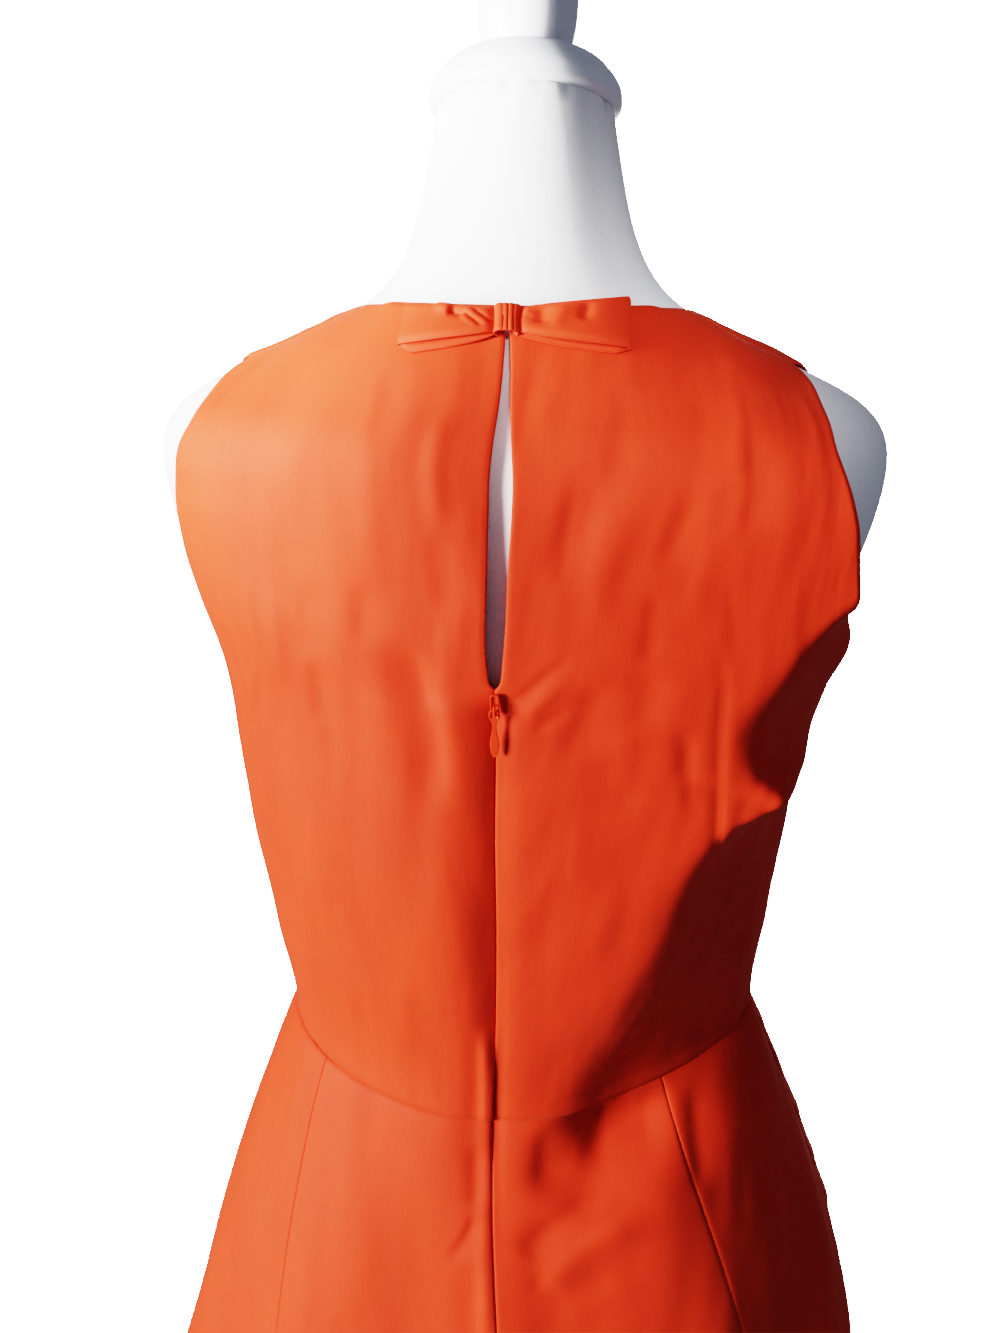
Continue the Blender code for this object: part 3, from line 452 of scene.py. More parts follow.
def creased(rows, around, height):
    """The sum of a table's creases. A fade is the share of the length over which an end dies out."""
    total = 0.0 * around
    for c in rows:
        start, end = np.array([c.around, c.height]), np.array([c.end_around, c.end_height])
        length = np.linalg.norm(end - start)
        ahead = (end - start) / length
        away_x, away_y = around - c.around, height - c.height
        along = (away_x * ahead[0] + away_y * ahead[1]) / length
        aside = away_x * ahead[1] - away_y * ahead[0]
        aside = aside - c.bow * 4 * np.clip(along, 0, 1) * (1 - np.clip(along, 0, 1))
        width = np.where(aside > 0, c.width, c.far_width)
        beyond = np.clip(np.maximum(-along, along - 1), 0, None) * length
        shape = np.exp(-((aside / width) ** 2) - (beyond / (0.6 * width)) ** 2)
        ends = ease_in(along / max(c.fade_in, 1e-6)) * ease_in((1 - along) / max(c.fade_out, 1e-6))
        ends = np.where((c.fade_in == 0) & (along < 0.5), 1.0, ends)
        total = total + c.depth * shape * ends
    return total


def waves(x, y, across, along, slant, seed, count=28):
    """Long soft waves, about across wide and along long, leaning by slant."""
    dice = np.random.default_rng(seed)
    total = np.zeros_like(x)
    x = x + slant * y
    for _ in range(count):
        kx = 2 * pi / across * dice.uniform(0.45, 1.35) * dice.choice([-1, 1])
        ky = 2 * pi / along * dice.normal(0, 0.8)
        total += np.cos(kx * x + ky * y + dice.uniform(0, 2 * pi))
    return total / np.sqrt(count / 2)


def steps_in(grid):
    """How far each point of a flat piece is from its left, right, bottom and top edges."""
    across = np.linalg.norm(np.diff(grid, axis=1), axis=2)
    along = np.linalg.norm(np.diff(grid, axis=0), axis=2)
    from_left = np.pad(np.cumsum(across, 1), ((0, 0), (1, 0)))
    from_bottom = np.pad(np.cumsum(along, 0), ((1, 0), (0, 0)))
    return from_left, from_left[:, -1:] - from_left, from_bottom, from_bottom[-1:] - from_bottom


def roll(distance, depth, width):
    """The cloth turning in towards a seam or an edge."""
    return -depth * np.exp(-((distance / width) ** 2))


# How deep the cloth turns in, and over what width.
SEAM_ROLL, GORE_ROLL = (0.0009, 0.0022), (0.0003, 0.0010)
WAIST_ROLL, EDGE_ROLL = (0.0010, 0.0024), (0.0005, 0.0018)
SHOULDER_ROLL, HEM_STITCH = (0.0022, 0.0075), (0.00015, 0.0012)
SHOULDER_FROM, SHOULDER_OVER = 0.062, 0.015  # where the shoulder seam's turn starts and grows
TOP_FADE = 0.015  # the creases die out this far from the top edge


def shoulder_roll(around, from_top):
    """The cloth turning over the shoulder on its way into the shoulder seam."""
    return roll(from_top, *SHOULDER_ROLL) * ease_in((np.abs(around) - SHOULDER_FROM) / SHOULDER_OVER)


WaveRow = namedtuple("WaveRow", "size across along seed")


def rippled(rows, x, y, lean=0.0, extra_seed=0):
    """The sum of a table's waves."""
    return sum(r.size * waves(x, y, r.across, r.along, lean, r.seed + extra_seed) for r in rows)


# %% Creases of the back, and of the front
BACK_CREASES = table(Crease, [
    (-0.0830, 0.275, -0.0950, 0.136, 0.0022, 0.0030, -0.0011, 0.25, 0.20),
    (-0.0900, 0.252, -0.1010, 0.146, 0.0050, 0.0060, 0.0006, 0.30, 0.25),
    (-0.0735, 0.226, -0.0752, 0.184, 0.0020, 0.0035, -0.0009, 0.30, 0.25),
    (-0.0700, 0.197, -0.1420, 0.178, 0.0040, 0.0060, -0.0010, 0.30, 0.30, 0.002),
    (-0.0720, 0.206, -0.1330, 0.192, 0.0050, 0.0050, 0.0008),
    (-0.0020, 0.244, -0.0240, 0.270, 0.0022, 0.0030, -0.0009, 0.00, 0.45),
    (-0.0060, 0.236, -0.0250, 0.258, 0.0030, 0.0030, 0.0008, 0.10, 0.50, 0.001),
    (-0.0080, 0.228, -0.0270, 0.246, 0.0022, 0.0030, -0.0007, 0.20, 0.50),
    (0.0400, 0.278, 0.0262, 0.178, 0.0060, 0.0120, -0.0034, 0.25, 0.35, 0.004),
    (0.0520, 0.262, 0.0390, 0.170, 0.0080, 0.0080, 0.0009),
    (0.0790, 0.256, 0.0760, 0.200, 0.0040, 0.0060, -0.0006),
    # the crest of the fold, and the hollow below it at the waist seam
    (-0.0860, 0.130, -0.0330, -0.002, 0.0060, 0.0140, 0.0016, 0.20, 0.15),
    (-0.0500, 0.045, -0.0410, -0.030, 0.0350, 0.0150, -0.0030, 0.50, 0.00),
    # slack of the right shoulder blade
    (-0.0132, 0.397, -0.0036, 0.352, 0.0070, 0.0035, -0.0005, 0.20, 0.30),
    (-0.0256, 0.394, -0.0118, 0.366, 0.0060, 0.0040, 0.0006),
    (-0.0262, 0.352, -0.0208, 0.298, 0.0090, 0.0040, -0.0010, 0.35, 0.30),
    (-0.0318, 0.350, -0.0282, 0.318, 0.0050, 0.0016, -0.0003),
    (-0.0522, 0.386, -0.0368, 0.344, 0.0080, 0.0050, -0.0008, 0.30, 0.35),
    (-0.0838, 0.382, -0.0708, 0.350, 0.0070, 0.0045, -0.0005),
    (-0.0984, 0.370, -0.0936, 0.318, 0.0090, 0.0040, -0.0012),
    (-0.0985, 0.382, -0.0845, 0.342, 0.0040, 0.0040, 0.0005),
    (-0.0711, 0.344, -0.0590, 0.306, 0.0080, 0.0045, -0.0008),
    (-0.0585, 0.302, -0.0510, 0.262, 0.0060, 0.0035, -0.0009),
    (-0.0372, 0.340, -0.0340, 0.272, 0.0080, 0.0060, 0.0006),
    (-0.0852, 0.334, -0.0690, 0.278, 0.0080, 0.0050, 0.0007),
    (-0.0882, 0.306, -0.0884, 0.264, 0.0050, 0.0016, -0.0004),
    # slack beside the fold
    (-0.0705, 0.234, -0.0710, 0.198, 0.0060, 0.0040, -0.0010, 0.35, 0.35),
    (-0.0475, 0.236, -0.0445, 0.190, 0.0070, 0.0060, 0.0008),
    (-0.0330, 0.258, -0.0230, 0.210, 0.0100, 0.0070, -0.0013),
    (-0.0560, 0.262, -0.0520, 0.228, 0.0080, 0.0070, -0.0010),
    (-0.0268, 0.182, -0.0230, 0.136, 0.0060, 0.0030, 0.0005),
    # slack of the left shoulder blade and below it
    (0.0540, 0.392, 0.0490, 0.356, 0.0080, 0.0040, -0.0011),
    (0.0285, 0.378, 0.0230, 0.322, 0.0040, 0.0045, 0.0011, 0.25, 0.30),
    (0.0130, 0.344, 0.0136, 0.290, 0.0060, 0.0050, 0.0008, 0.30, 0.20),
    (0.0136, 0.298, 0.0235, 0.240, 0.0060, 0.0060, 0.0009, 0.20, 0.30),
    (0.0262, 0.326, 0.0218, 0.284, 0.0060, 0.0040, -0.0007),
    (0.0784, 0.298, 0.0815, 0.254, 0.0090, 0.0050, -0.0012),
    (0.0944, 0.290, 0.1050, 0.234, 0.0060, 0.0070, 0.0012),
    (0.0540, 0.302, 0.0540, 0.264, 0.0080, 0.0045, -0.0009),
    (0.0795, 0.262, 0.0842, 0.216, 0.0070, 0.0035, -0.0010),
    (0.1115, 0.296, 0.1120, 0.256, 0.0040, 0.0030, 0.0008),
    (0.1200, 0.246, 0.1400, 0.206, 0.0035, 0.0030, 0.0010),
    # the ridge that comes out of the dip beside the zip, on its way over the waist seam
    (0.0103, 0.052, 0.0108, -0.020, 0.0040, 0.0030, 0.0030, 0.35, 0.00),
])
FRONT_CREASES = table(Crease, [
    (0.0720, 0.000, 0.0800, 0.120, 0.0010, 0.0010, -0.0010, 0.00, 0.40),
    (-0.0700, 0.000, -0.0790, 0.118, 0.0010, 0.0010, -0.0010, 0.00, 0.40),
    (0.1900, 0.158, 0.1130, 0.182, 0.0010, 0.0010, -0.0009, 0.00, 0.35),
    (-0.1900, 0.150, -0.1120, 0.180, 0.0010, 0.0010, -0.0009, 0.00, 0.35),
    (0.1350, 0.235, 0.0700, 0.205, 0.0060, 0.0080, -0.0012, 0.25, 0.40, 0.004),
    (-0.1300, 0.228, -0.0650, 0.200, 0.0060, 0.0080, -0.0012, 0.25, 0.40, -0.004),
    (0.0300, 0.030, 0.0950, 0.062, 0.0050, 0.0070, -0.0010, 0.30, 0.35, 0.004),
    (-0.0200, 0.045, -0.0920, 0.085, 0.0050, 0.0080, -0.0011, 0.30, 0.35, -0.004),
    (-0.0200, 0.330, 0.0350, 0.300, 0.0060, 0.0080, -0.0007, 0.30, 0.30, 0.003),
])

BACK_WAVES = table(WaveRow, [
    (0.00032, 0.046, 0.130, 3),
    (0.00009, 0.019, 0.085, 13),
    (0.00002, 0.0075, 0.045, 23),
])
FRONT_WAVES = table(WaveRow, [(0.00055, 0.050, 0.120, 41), (0.00020, 0.020, 0.085, 42)])
WAVE_LEAN = {"left": 0.0, "right": 0.26}
print("deepest crease of the back:", min(c.depth for c in BACK_CREASES) * 1000, "mm")

# %% The dip beside the zip, and the relief of each bodice piece
VALLEY_DEPTH, VALLEY_WIDTH = 0.0048, 0.0120
TURN_DEPTH, TURN_WIDTH = 0.0050, 0.0065
TURN_LEFT = 0.25  # share of the sharp turn that is left at the waist seam and below it
TURN_FROM, TURN_OVER = 0.010, 0.050
SWELL, SWELL_REACH = 0.0045, 0.0650
PROUD_DEPTH, PROUD_WIDTH = 0.0025, 0.0050
LEFT_EDGE, RIGHT_EDGE = (0.0005, 0.0012), (0.0003, 0.0008)  # rolls at the centre back
DEEPEST_FRONT = 0.0030  # no crease goes deeper than this at the front
ZIP_OPEN = KEYHOLE_BOTTOM + 0.006  # the seam is fully open from here up
ZIP_OPENS_OVER = 0.020
DipRow = namedtuple("DipRow", "height share")
OPENING_DIP = table(DipRow, [
    (0.250, 0.30),
    (0.290, 0.20),
    (0.320, 0.50),
    (0.350, 0.62),
    (0.385, 0.35),
    (0.410, 0.00),
    (0.430, 0.00),
])


def zipped(height):
    """1 where the centre back seam is closed, and 0 in the opening above it."""
    return ease_in((ZIP_OPEN - height) / ZIP_OPENS_OVER)


def seam_valley(from_seam, height):
    """How far the left back dips towards the zip and towards the opening above it."""
    share = np.maximum(smooth(OPENING_DIP, "share", height), zipped(height))
    dip = VALLEY_DEPTH * np.exp(-((from_seam / VALLEY_WIDTH) ** 2))
    above_waist = TURN_LEFT + (1 - TURN_LEFT) * ease_in((height - TURN_FROM) / TURN_OVER)
    sharp_turn = TURN_DEPTH * np.exp(-from_seam / TURN_WIDTH) * above_waist
    swell = SWELL * ease_in((SWELL_REACH - from_seam) / SWELL_REACH)
    return (dip + (sharp_turn - swell) * zipped(height)) * share


def back_relief(grid, side):
    """How far a back piece's outer face lies off its plain solid."""
    around, height = grid[..., 0], grid[..., 1]
    signed = around * SIDE[side]
    from_seam, from_side, from_waist, from_top = steps_in(grid)
    relief = creased(BACK_CREASES, signed, height)
    relief += rippled(BACK_WAVES, signed, height, WAVE_LEAN[side], SIDE[side])
    relief = relief * ease_in(from_top / TOP_FADE) + shoulder_roll(around, from_top)
    closed = zipped(height)
    if side == "left":
        relief -= seam_valley(from_seam, height)
        relief += roll(from_seam, *LEFT_EDGE) * (1 - closed)
    else:
        relief += roll(from_seam, PROUD_DEPTH, PROUD_WIDTH) * closed
        relief += roll(from_seam, *RIGHT_EDGE)
    relief += roll(from_side, *SEAM_ROLL) + roll(from_waist, *WAIST_ROLL)
    return relief + roll(from_top, *EDGE_ROLL)


def front_relief(grid):
    around, height = grid[..., 0], grid[..., 1]
    from_right, from_left, from_waist, from_top = steps_in(grid)
    relief = creased(FRONT_CREASES, around, height)
    relief += rippled(FRONT_WAVES, around, height)
    relief = relief * ease_in(from_top / TOP_FADE) + shoulder_roll(around, from_top)
    relief += roll(np.minimum(from_left, from_right), *SEAM_ROLL)
    relief += roll(from_waist, *WAIST_ROLL) + roll(from_top, *EDGE_ROLL)
    return np.maximum(relief, -DEEPEST_FRONT)


print("dip beside the zip:", round(float(seam_valley(0.0, 0.15)) * 1000, 1), "mm")

# %% [markdown]
# ## From flat piece to worn cloth
# The flat grid is wrapped round the body, pushed out by its folds, and given its thickness. Real
# cut edges are turned in, so the wall ends in a rounded fold rather than in a sharp corner. The
# flat places become the UV map, so the weave runs with the grain on every piece.

# %% Wrap a piece and close it into a sheet
WALL = 0.0011  # thickness of the sheet, with its turnings
EDGE_ROUND = 0.32  # how far a sheet's rounded edge stands out, as a share of its wall


def level_near_waist(normal, height, reach=0.03):
    level = np.clip(1 - height / reach, 0, 1)[..., None]
    normal = normal * (1 - level * [0, 0, 1])
    return normal / np.linalg.norm(normal, axis=-1, keepdims=True)


def worn(face, around, height):
    """Turns a bodice pattern into points on the body, and their outward directions."""
    point = back_point if face == "back" else worn_point
    turn = pi / 2 * around / quarter(height, face)
    if face == "front":
        turn = pi - turn
    normal = outward(point, turn, height)
    return point(turn, height), level_near_waist(normal, height + WAIST_DIP)


def rim_of(rows, columns):
    """The indices round the edge of a grid, in order."""
    index = np.arange(rows * columns).reshape(rows, columns)
    return np.concatenate([index[0], index[1:, -1], index[-1, -2::-1], index[-2:0:-1, 0]])


def sheet_of(name, outside, normal, flat, wall=WALL):
    """A closed sheet with a rounded edge, under the outside face, with its flat places as UV map."""
    rows, columns = outside.shape[:2]
    count = rows * columns
    index = np.arange(count).reshape(rows, columns)
    a, b = index[:-1, :-1].ravel(), index[:-1, 1:].ravel()
    c, d = index[1:, 1:].ravel(), index[1:, :-1].ravel()
    front_faces = np.stack([a, b, c, d], -1)
    inside = outside - normal * wall
    rim = rim_of(rows, columns)
    r, k = rim // columns, rim % columns
    inner_r = np.clip(r, 1, rows - 2)
    inner_k = np.clip(k, 1, columns - 2)
    middle = (outside[r, k] + inside[r, k]) / 2
    out = outside[r, k] - outside[inner_r, inner_k]
    out /= np.linalg.norm(out, axis=1, keepdims=True)
    middle += out * wall * EDGE_ROUND
    following = np.roll(np.arange(len(rim)), -1)
    edge = 2 * count + np.arange(len(rim))
    outer_strip = np.stack([rim, rim[following], edge[following], edge], -1)
    inner_strip = np.stack([edge, edge[following], rim[following] + count, rim + count], -1)
    faces = np.concatenate([front_faces, front_faces[:, ::-1] + count, outer_strip, inner_strip])
    points = np.concatenate([outside.reshape(-1, 3), inside.reshape(-1, 3), middle])
    places = np.concatenate([flat.reshape(-1, 2), flat.reshape(-1, 2), flat[r, k]])
    mesh = bpy.data.meshes.new(name)
    mesh.from_pydata(points.tolist(), [], faces.tolist())
    body = bmesh.new()
    body.from_mesh(mesh)
    bmesh.ops.recalc_face_normals(body, faces=body.faces)
    body.to_mesh(mesh)
    body.free()
    corner = np.zeros(len(mesh.loops), np.int32)
    mesh.loops.foreach_get("vertex_index", corner)
    mesh.uv_layers.new(name="grain").data.foreach_set("uv", places[corner].astype(np.float32).ravel())
    mesh.shade_smooth()
    piece = bpy.data.objects.new(name, mesh)
    bpy.context.scene.collection.objects.link(piece)
    return piece


# %% Make the bodice
cloth_pieces = {}
for side, sign in SIDE.items():
    grid = backs[side]
    points, normal = worn("back", grid[..., 0] * sign, grid[..., 1])
    outside = points + normal * (CLOTH + back_relief(grid, side))[..., None]
    name = "bodice_back_" + side
    cloth_pieces[name] = sheet_of(name + "_cloth", outside, normal, grid * [sign, 1])

points, normal = worn("front", front[..., 0], front[..., 1])
outside = points + normal * (CLOTH + front_relief(front))[..., None]
cloth_pieces["bodice_front"] = sheet_of("bodice_front_cloth", outside, normal, front)
print("bodice:", {n: len(o.data.polygons) for n, o in cloth_pieces.items()})

# %% [markdown]
# ## Peplum and skirt
# Both hang from the waist seam and are measured by their drop below it. The peplum flares, and
# its gores spread into soft flutes towards the hem. The skirt under it is slim.

# %% Sections and seams below the waist
PEPLUM_LENGTH, SKIRT_LENGTH = 0.270, 0.580
FlareRow = namedtuple("FlareRow", "drop half_width back front roundness shift")
PEPLUM = table(FlareRow, [
    (0.000, 0.1364, 0.0964, 0.1009, 2.20, -0.0035),
    (0.030, 0.1490, 0.1045, 0.1085, 2.20, -0.0040),
    (0.070, 0.1645, 0.1150, 0.1180, 2.20, -0.0045),
    (0.120, 0.1835, 0.1270, 0.1295, 2.15, -0.0050),
    (0.170, 0.2000, 0.1385, 0.1400, 2.10, -0.0055),
    (0.220, 0.2125, 0.1490, 0.1500, 2.10, -0.0050),
    (PEPLUM_LENGTH, 0.2225, 0.1580, 0.1585, 2.10, 0.0000),
])
SKIRT = table(FlareRow, [
    (0.000, 0.1345, 0.0945, 0.0990, 2.20, -0.0035),
    (0.030, 0.1430, 0.0990, 0.1030, 2.20, -0.0035),
    (0.070, 0.1560, 0.1060, 0.1060, 2.20, -0.0030),
    (0.120, 0.1680, 0.1150, 0.1075, 2.20, -0.0020),
    (0.200, 0.1770, 0.1215, 0.1090, 2.20, 0.0000),
    (0.270, 0.1770, 0.1200, 0.1080, 2.20, 0.0000),
    (0.400, 0.1710, 0.1150, 0.1040, 2.20, 0.0000),
    (SKIRT_LENGTH, 0.1640, 0.1090, 0.0990, 2.20, 0.0000),
])
SeamRow = namedtuple("SeamRow", "drop centre left right")
SEAMS = table(SeamRow, [
    (0.000, 4.2, 52.0, -35.0),
    (0.130, 2.2, 46.0, -40.5),
    (0.270, 0.8, 43.0, -43.0),
    (SKIRT_LENGTH, 0.8, 43.0, -43.0),
])
FLUTES, FLUTE_DEPTH, FLUTE_GROWTH = 10, 0.0045, 1.3


def flared_point(rows, turn, drop, flute=0.0):
    """A point of the peplum or the skirt, by its drop below the waist seam."""
    columns = [smooth(rows, c, drop) for c in ("half_width", "back", "front", "roundness")]
    grown = (np.clip(drop, 0, None) / PEPLUM_LENGTH) ** FLUTE_GROWTH
    wave = flute * grown * np.cos(FLUTES * turn)
    columns[:3] = [size + wave for size in columns[:3]]
    x, y = on_ring(turn, *columns)
    shift = smooth(rows, "shift", drop)
    points = place(x + shift, y, -seam_drop(turn) - drop)
    return hang(points, columns[0] - shift, columns[1], -drop)


def seam(column):
    """A seam's turn round the body at any drop, read from its column."""
    return lambda drop: np.radians(smooth(SEAMS, column, drop))


def side_seam(sign):
    """The side seam hangs straight: its turn is the same at every drop."""
    return lambda drop: np.full_like(drop, sign * pi / 2)


def front_seam(drop):
    return np.full_like(drop, 3 * pi / 2)


# %% Creases of the peplum
PEPLUM_CREASES = table(Crease, [
    (0.0145, 0.012, 0.0150, 0.055, 0.0040, 0.0050, -0.0014),
    (0.0150, 0.052, 0.0290, 0.086, 0.0014, 0.0050, -0.0013, 0.25, 0.30, -0.002),
    (0.0102, -0.012, 0.0108, 0.150, 0.0040, 0.0030, 0.0018, 0.00, 0.30),
    (0.0150, 0.075, 0.0175, 0.175, 0.0090, 0.0050, -0.0014, 0.35, 0.20),
    (-0.0110, 0.030, -0.0150, 0.170, 0.0130, 0.0200, -0.0030, 0.30, 0.20),
    (-0.0100, 0.096, -0.0640, 0.0575, 0.0120, 0.0070, 0.0026, 0.15, 0.35, -0.0055),
    (-0.0020, 0.079, -0.0430, 0.046, 0.0070, 0.0060, -0.0017, 0.15, 0.35, -0.0060),
    (-0.0060, 0.101, -0.0210, 0.080, 0.0025, 0.0030, -0.0005, 0.20, 0.40, -0.0020),
    (-0.0180, 0.124, -0.0600, 0.098, 0.0090, 0.0090, 0.0008, 0.30, 0.30, -0.0040),
    (-0.0885, 0.004, -0.0930, 0.060, 0.0060, 0.0070, -0.0012),
])

# The fold's hollow goes on below the waist seam, and a pucker runs from it towards the zip.
BELOW_FOLD = table(Crease, [
    (-0.0425, -0.010, -0.0380, 0.050, 0.0150, 0.0350, -0.0030, 0.00, 0.50),
    (-0.0440, -0.006, -0.0150, 0.056, 0.0150, 0.0280, -0.0070, 0.20, 0.35, 0.0050),
    (-0.0120, 0.002, -0.0100, 0.044, 0.0050, 0.0070, -0.0018, 0.35, 0.35),
    (-0.0250, 0.0100, -0.0800, 0.0110, 0.0220, 0.0070, -0.0045, 0.30, 0.35),
])

print("creases below the waist:", len(PEPLUM_CREASES) + len(BELOW_FOLD))

# %% The relief of the peplum and the skirt
PEPLUM_WAVE = WaveRow(0.00045, 0.060, 0.200, 51)
PEPLUM_GRAIN = WaveRow(0.00008, 0.022, 0.100, 52)
SKIRT_WAVES = table(WaveRow, [(0.00045, 0.070, 0.220, 61), (0.00016, 0.024, 0.110, 62)])
PEPLUM_FREE, SKIRT_FREE = 0.04, 0.15  # the waves reach their full size at this drop
SIDE_ROLL_FROM = 0.05  # and the skirt's seams their full roll at this one
PEPLUM_DIP_REACH, SKIRT_DIP_REACH = 0.11, 0.12  # how far down the dip beside the zip goes
PROUD_LOSS, PROUD_LOSS_OVER = 0.8, 0.07  # the share that the proud edge loses, and over what drop
PEPLUM_HEM, SKIRT_HEM = 0.030, 0.040  # how far up each hem is stitched


def flat_place(turn, drop):
    """A place on the flat peplum: about the distance round it, and the drop."""
    wide = (smooth(PEPLUM, "half_width", drop) + smooth(PEPLUM, "back", drop)) / 2
    return turn * wide, drop


def below_zip(turn, drop, reach):
    """The dip beside the zip, carried on below the waist seam, and the proud edge right of it."""
    x, y = flat_place(turn, drop)
    from_seam = x - flat_place(seam("centre")(drop), drop)[0]
    dip = seam_valley(np.abs(from_seam), -y) * (from_seam > 0)
    left_over = 1 - PROUD_LOSS * ease_in(drop / PROUD_LOSS_OVER)
    edge = roll(from_seam, PROUD_DEPTH, PROUD_WIDTH) * (from_seam < 0) * left_over
    return (edge - dip) * ease_in((reach - drop) / reach)


def peplum_relief(turn, drop, flat):
    from_first, from_last, from_waist, from_hem = steps_in(flat)
    x, y = flat_place(turn, drop)
    relief = creased(PEPLUM_CREASES + BELOW_FOLD, x, y) + below_zip(turn, drop, PEPLUM_DIP_REACH)
    relief += rippled([PEPLUM_WAVE], x, y) * ease_in(drop / PEPLUM_FREE)
    relief += rippled([PEPLUM_GRAIN], x, y)
    relief += roll(np.minimum(from_first, from_last), *GORE_ROLL) + roll(from_waist, *WAIST_ROLL)
    return relief + roll(np.abs(from_hem - PEPLUM_HEM), *HEM_STITCH)


def skirt_relief(turn, drop, flat):
    from_first, from_last, _, from_hem = steps_in(flat)
    relief = creased(BELOW_FOLD, *flat_place(turn, drop)) + below_zip(turn, drop, SKIRT_DIP_REACH)
    relief += rippled(SKIRT_WAVES, flat[..., 0], flat[..., 1]) * ease_in(drop / SKIRT_FREE)
    relief += roll(np.minimum(from_first, from_last), *SEAM_ROLL) * ease_in(drop / SIDE_ROLL_FROM)
    return relief + roll(np.abs(from_hem - SKIRT_HEM), *HEM_STITCH)


def flared_sheet(name, rows, length, starts, ends, columns, row_count, relief, flute=0.0):
    """A piece between two seams, from the waist seam down to its hem."""
    drop = (length * np.linspace(0, 1, row_count))[:, None]
    gap = SEAM_GAP / 2 / smooth(rows, "back", drop)
    first, last = starts(drop) + gap, ends(drop) - gap
    across = np.linspace(0, 1, columns)
    across = across - 0.5 * np.sin(2 * pi * across) / (2 * pi)
    turn = first + (last - first) * across[None, :]
    drop = drop + np.zeros_like(turn)

    def point(a, b):
        return flared_point(rows, a, b, flute)

    normal = level_near_waist(outward(point, turn, drop), drop, 0.02)
    points = point(turn, drop)
    points[..., 2] -= SEAM_GAP / 2
    around = np.cumsum(np.linalg.norm(np.diff(points, axis=1, prepend=points[:, :1]), axis=2), axis=1)
    around -= around[:, columns // 2][:, None]
    flat = np.stack([around, -drop], -1)
    outside = points + normal * (CLOTH + relief(turn, drop, flat))[..., None]
    return sheet_of(name + "_cloth", outside, normal, flat)


# %% Make the peplum and the skirt
peplum_parts = [
    ("peplum_back_left", seam("centre"), seam("left"), 58),
    ("peplum_back_right", seam("right"), seam("centre"), 58),
    ("peplum_side_left", seam("left"), side_seam(1), 44),
    ("peplum_side_right", side_seam(-1), seam("right"), 52),
    ("peplum_front", side_seam(1), front_seam, 170),
]
for name, starts, ends, columns in peplum_parts:
    cloth_pieces[name] = flared_sheet(
        name, PEPLUM, PEPLUM_LENGTH, starts, ends, columns, 100, peplum_relief, FLUTE_DEPTH
    )
skirt_parts = [
    ("skirt_back_left", seam("centre"), side_seam(1), 60),
    ("skirt_back_right", side_seam(-1), seam("centre"), 60),
    ("skirt_front", side_seam(1), front_seam, 110),
]
for name, starts, ends, columns in skirt_parts:
    cloth_pieces[name] = flared_sheet(name, SKIRT, SKIRT_LENGTH, starts, ends, columns, 140, skirt_relief)
print("sheets:", len(cloth_pieces), "faces:", sum(len(o.data.polygons) for o in cloth_pieces.values()))

# %% [markdown]
# ## The bow
# A flat bow is two short tubes of cloth and a band round their middle. Each loop is one strip that
# leaves the knot, turns back at the end and returns, so two layers show along its lower edge. Near
# the knot the strip is gathered: its height shrinks and the cloth falls into small pleats.

# %% Sizes of the bow
BOW_MIDDLE = 0.0040
BOW_BOTTOM = 0.3970
BOW_TOP = {"left": 0.4118, "right": 0.4160}
BOW_UNDER_DROP = {"left": 0.0026, "right": 0.0016}
BOW_REACH = {"left": 0.0465, "right": 0.0535}
BOW_CLEARANCE = 0.0009
BOW_FLARE = 0.0014  # how much further out the loops' lower corners reach
BOW_LAYERS = 0.0034  # from the under layer to the upper one at the loop's end
BOW_LIFT = 0.0022  # how far the upper layer puffs out between its ends
BOW_OPEN = 0.0008  # how much further the loops open away from the knot
BOW_TILT = 0.0020  # how much further out the loops' upper edges stand
BOW_ROUND, BOW_ROUND_WIDTH = 0.0012, 0.0010  # how far the strip's folded edges turn in
BOW_PUFF_POWER, BOW_OPEN_POWER = 0.8, 0.75  # how soon the loops puff out and open
BOW_END = radians(75)  # how far round the strip's end goes on each side of its outermost line
BOW_TUCK = 0.0022  # how far the strip goes on behind the knot
BOW_TURN = 0.0060  # width of the turn at each loop's end
BOW_UNDER_LIFT = 0.0010  # how far the under layer stands off the back
BOW_PINCH, BOW_PINCH_REACH = 0.0012, 0.004  # how far the knot presses the upper layer down
BOW_LEAST_GAP = 0.0021  # least distance of the upper layer from the under layer
BOW_WALL = 0.0009
PLEAT_FADE = 0.25
KNOT_HALF = 0.0052
KNOT_BOTTOM, KNOT_TOP = 0.4035, 0.4140
KNOT_LIFT, KNOT_CROWN, KNOT_EDGE = 0.0042, 0.0030, 0.0009
KNOT_FOLDS = ((-0.55, -0.0007), (-0.12, -0.0009), (0.30, -0.0006), (0.66, 0.0004))
KNOT_FOLD_WIDTH, KNOT_FOLD_LEAN = 0.13, 0.10
KNOT_TURN = radians(128)  # how far round the band goes on each side of its middle
KNOT_WAIST = 0.10  # how much narrower the band is half way up
GATHERED_BOTTOM, GATHERED_TOP = 0.4045, 0.4135


def off_back(around, height, lift):
    """A point that stands lift off the outer face of the back, and the way out from there."""
    points, normal = worn("back", around, height)
    return points + normal * (CLOTH + lift)[..., None], normal


def across_sheet(points):
    """Unit normals of a grid of points, from its own rows and columns."""
    normal = np.cross(np.gradient(points, axis=1), np.gradient(points, axis=0))
    return normal / np.linalg.norm(normal, axis=-1, keepdims=True)


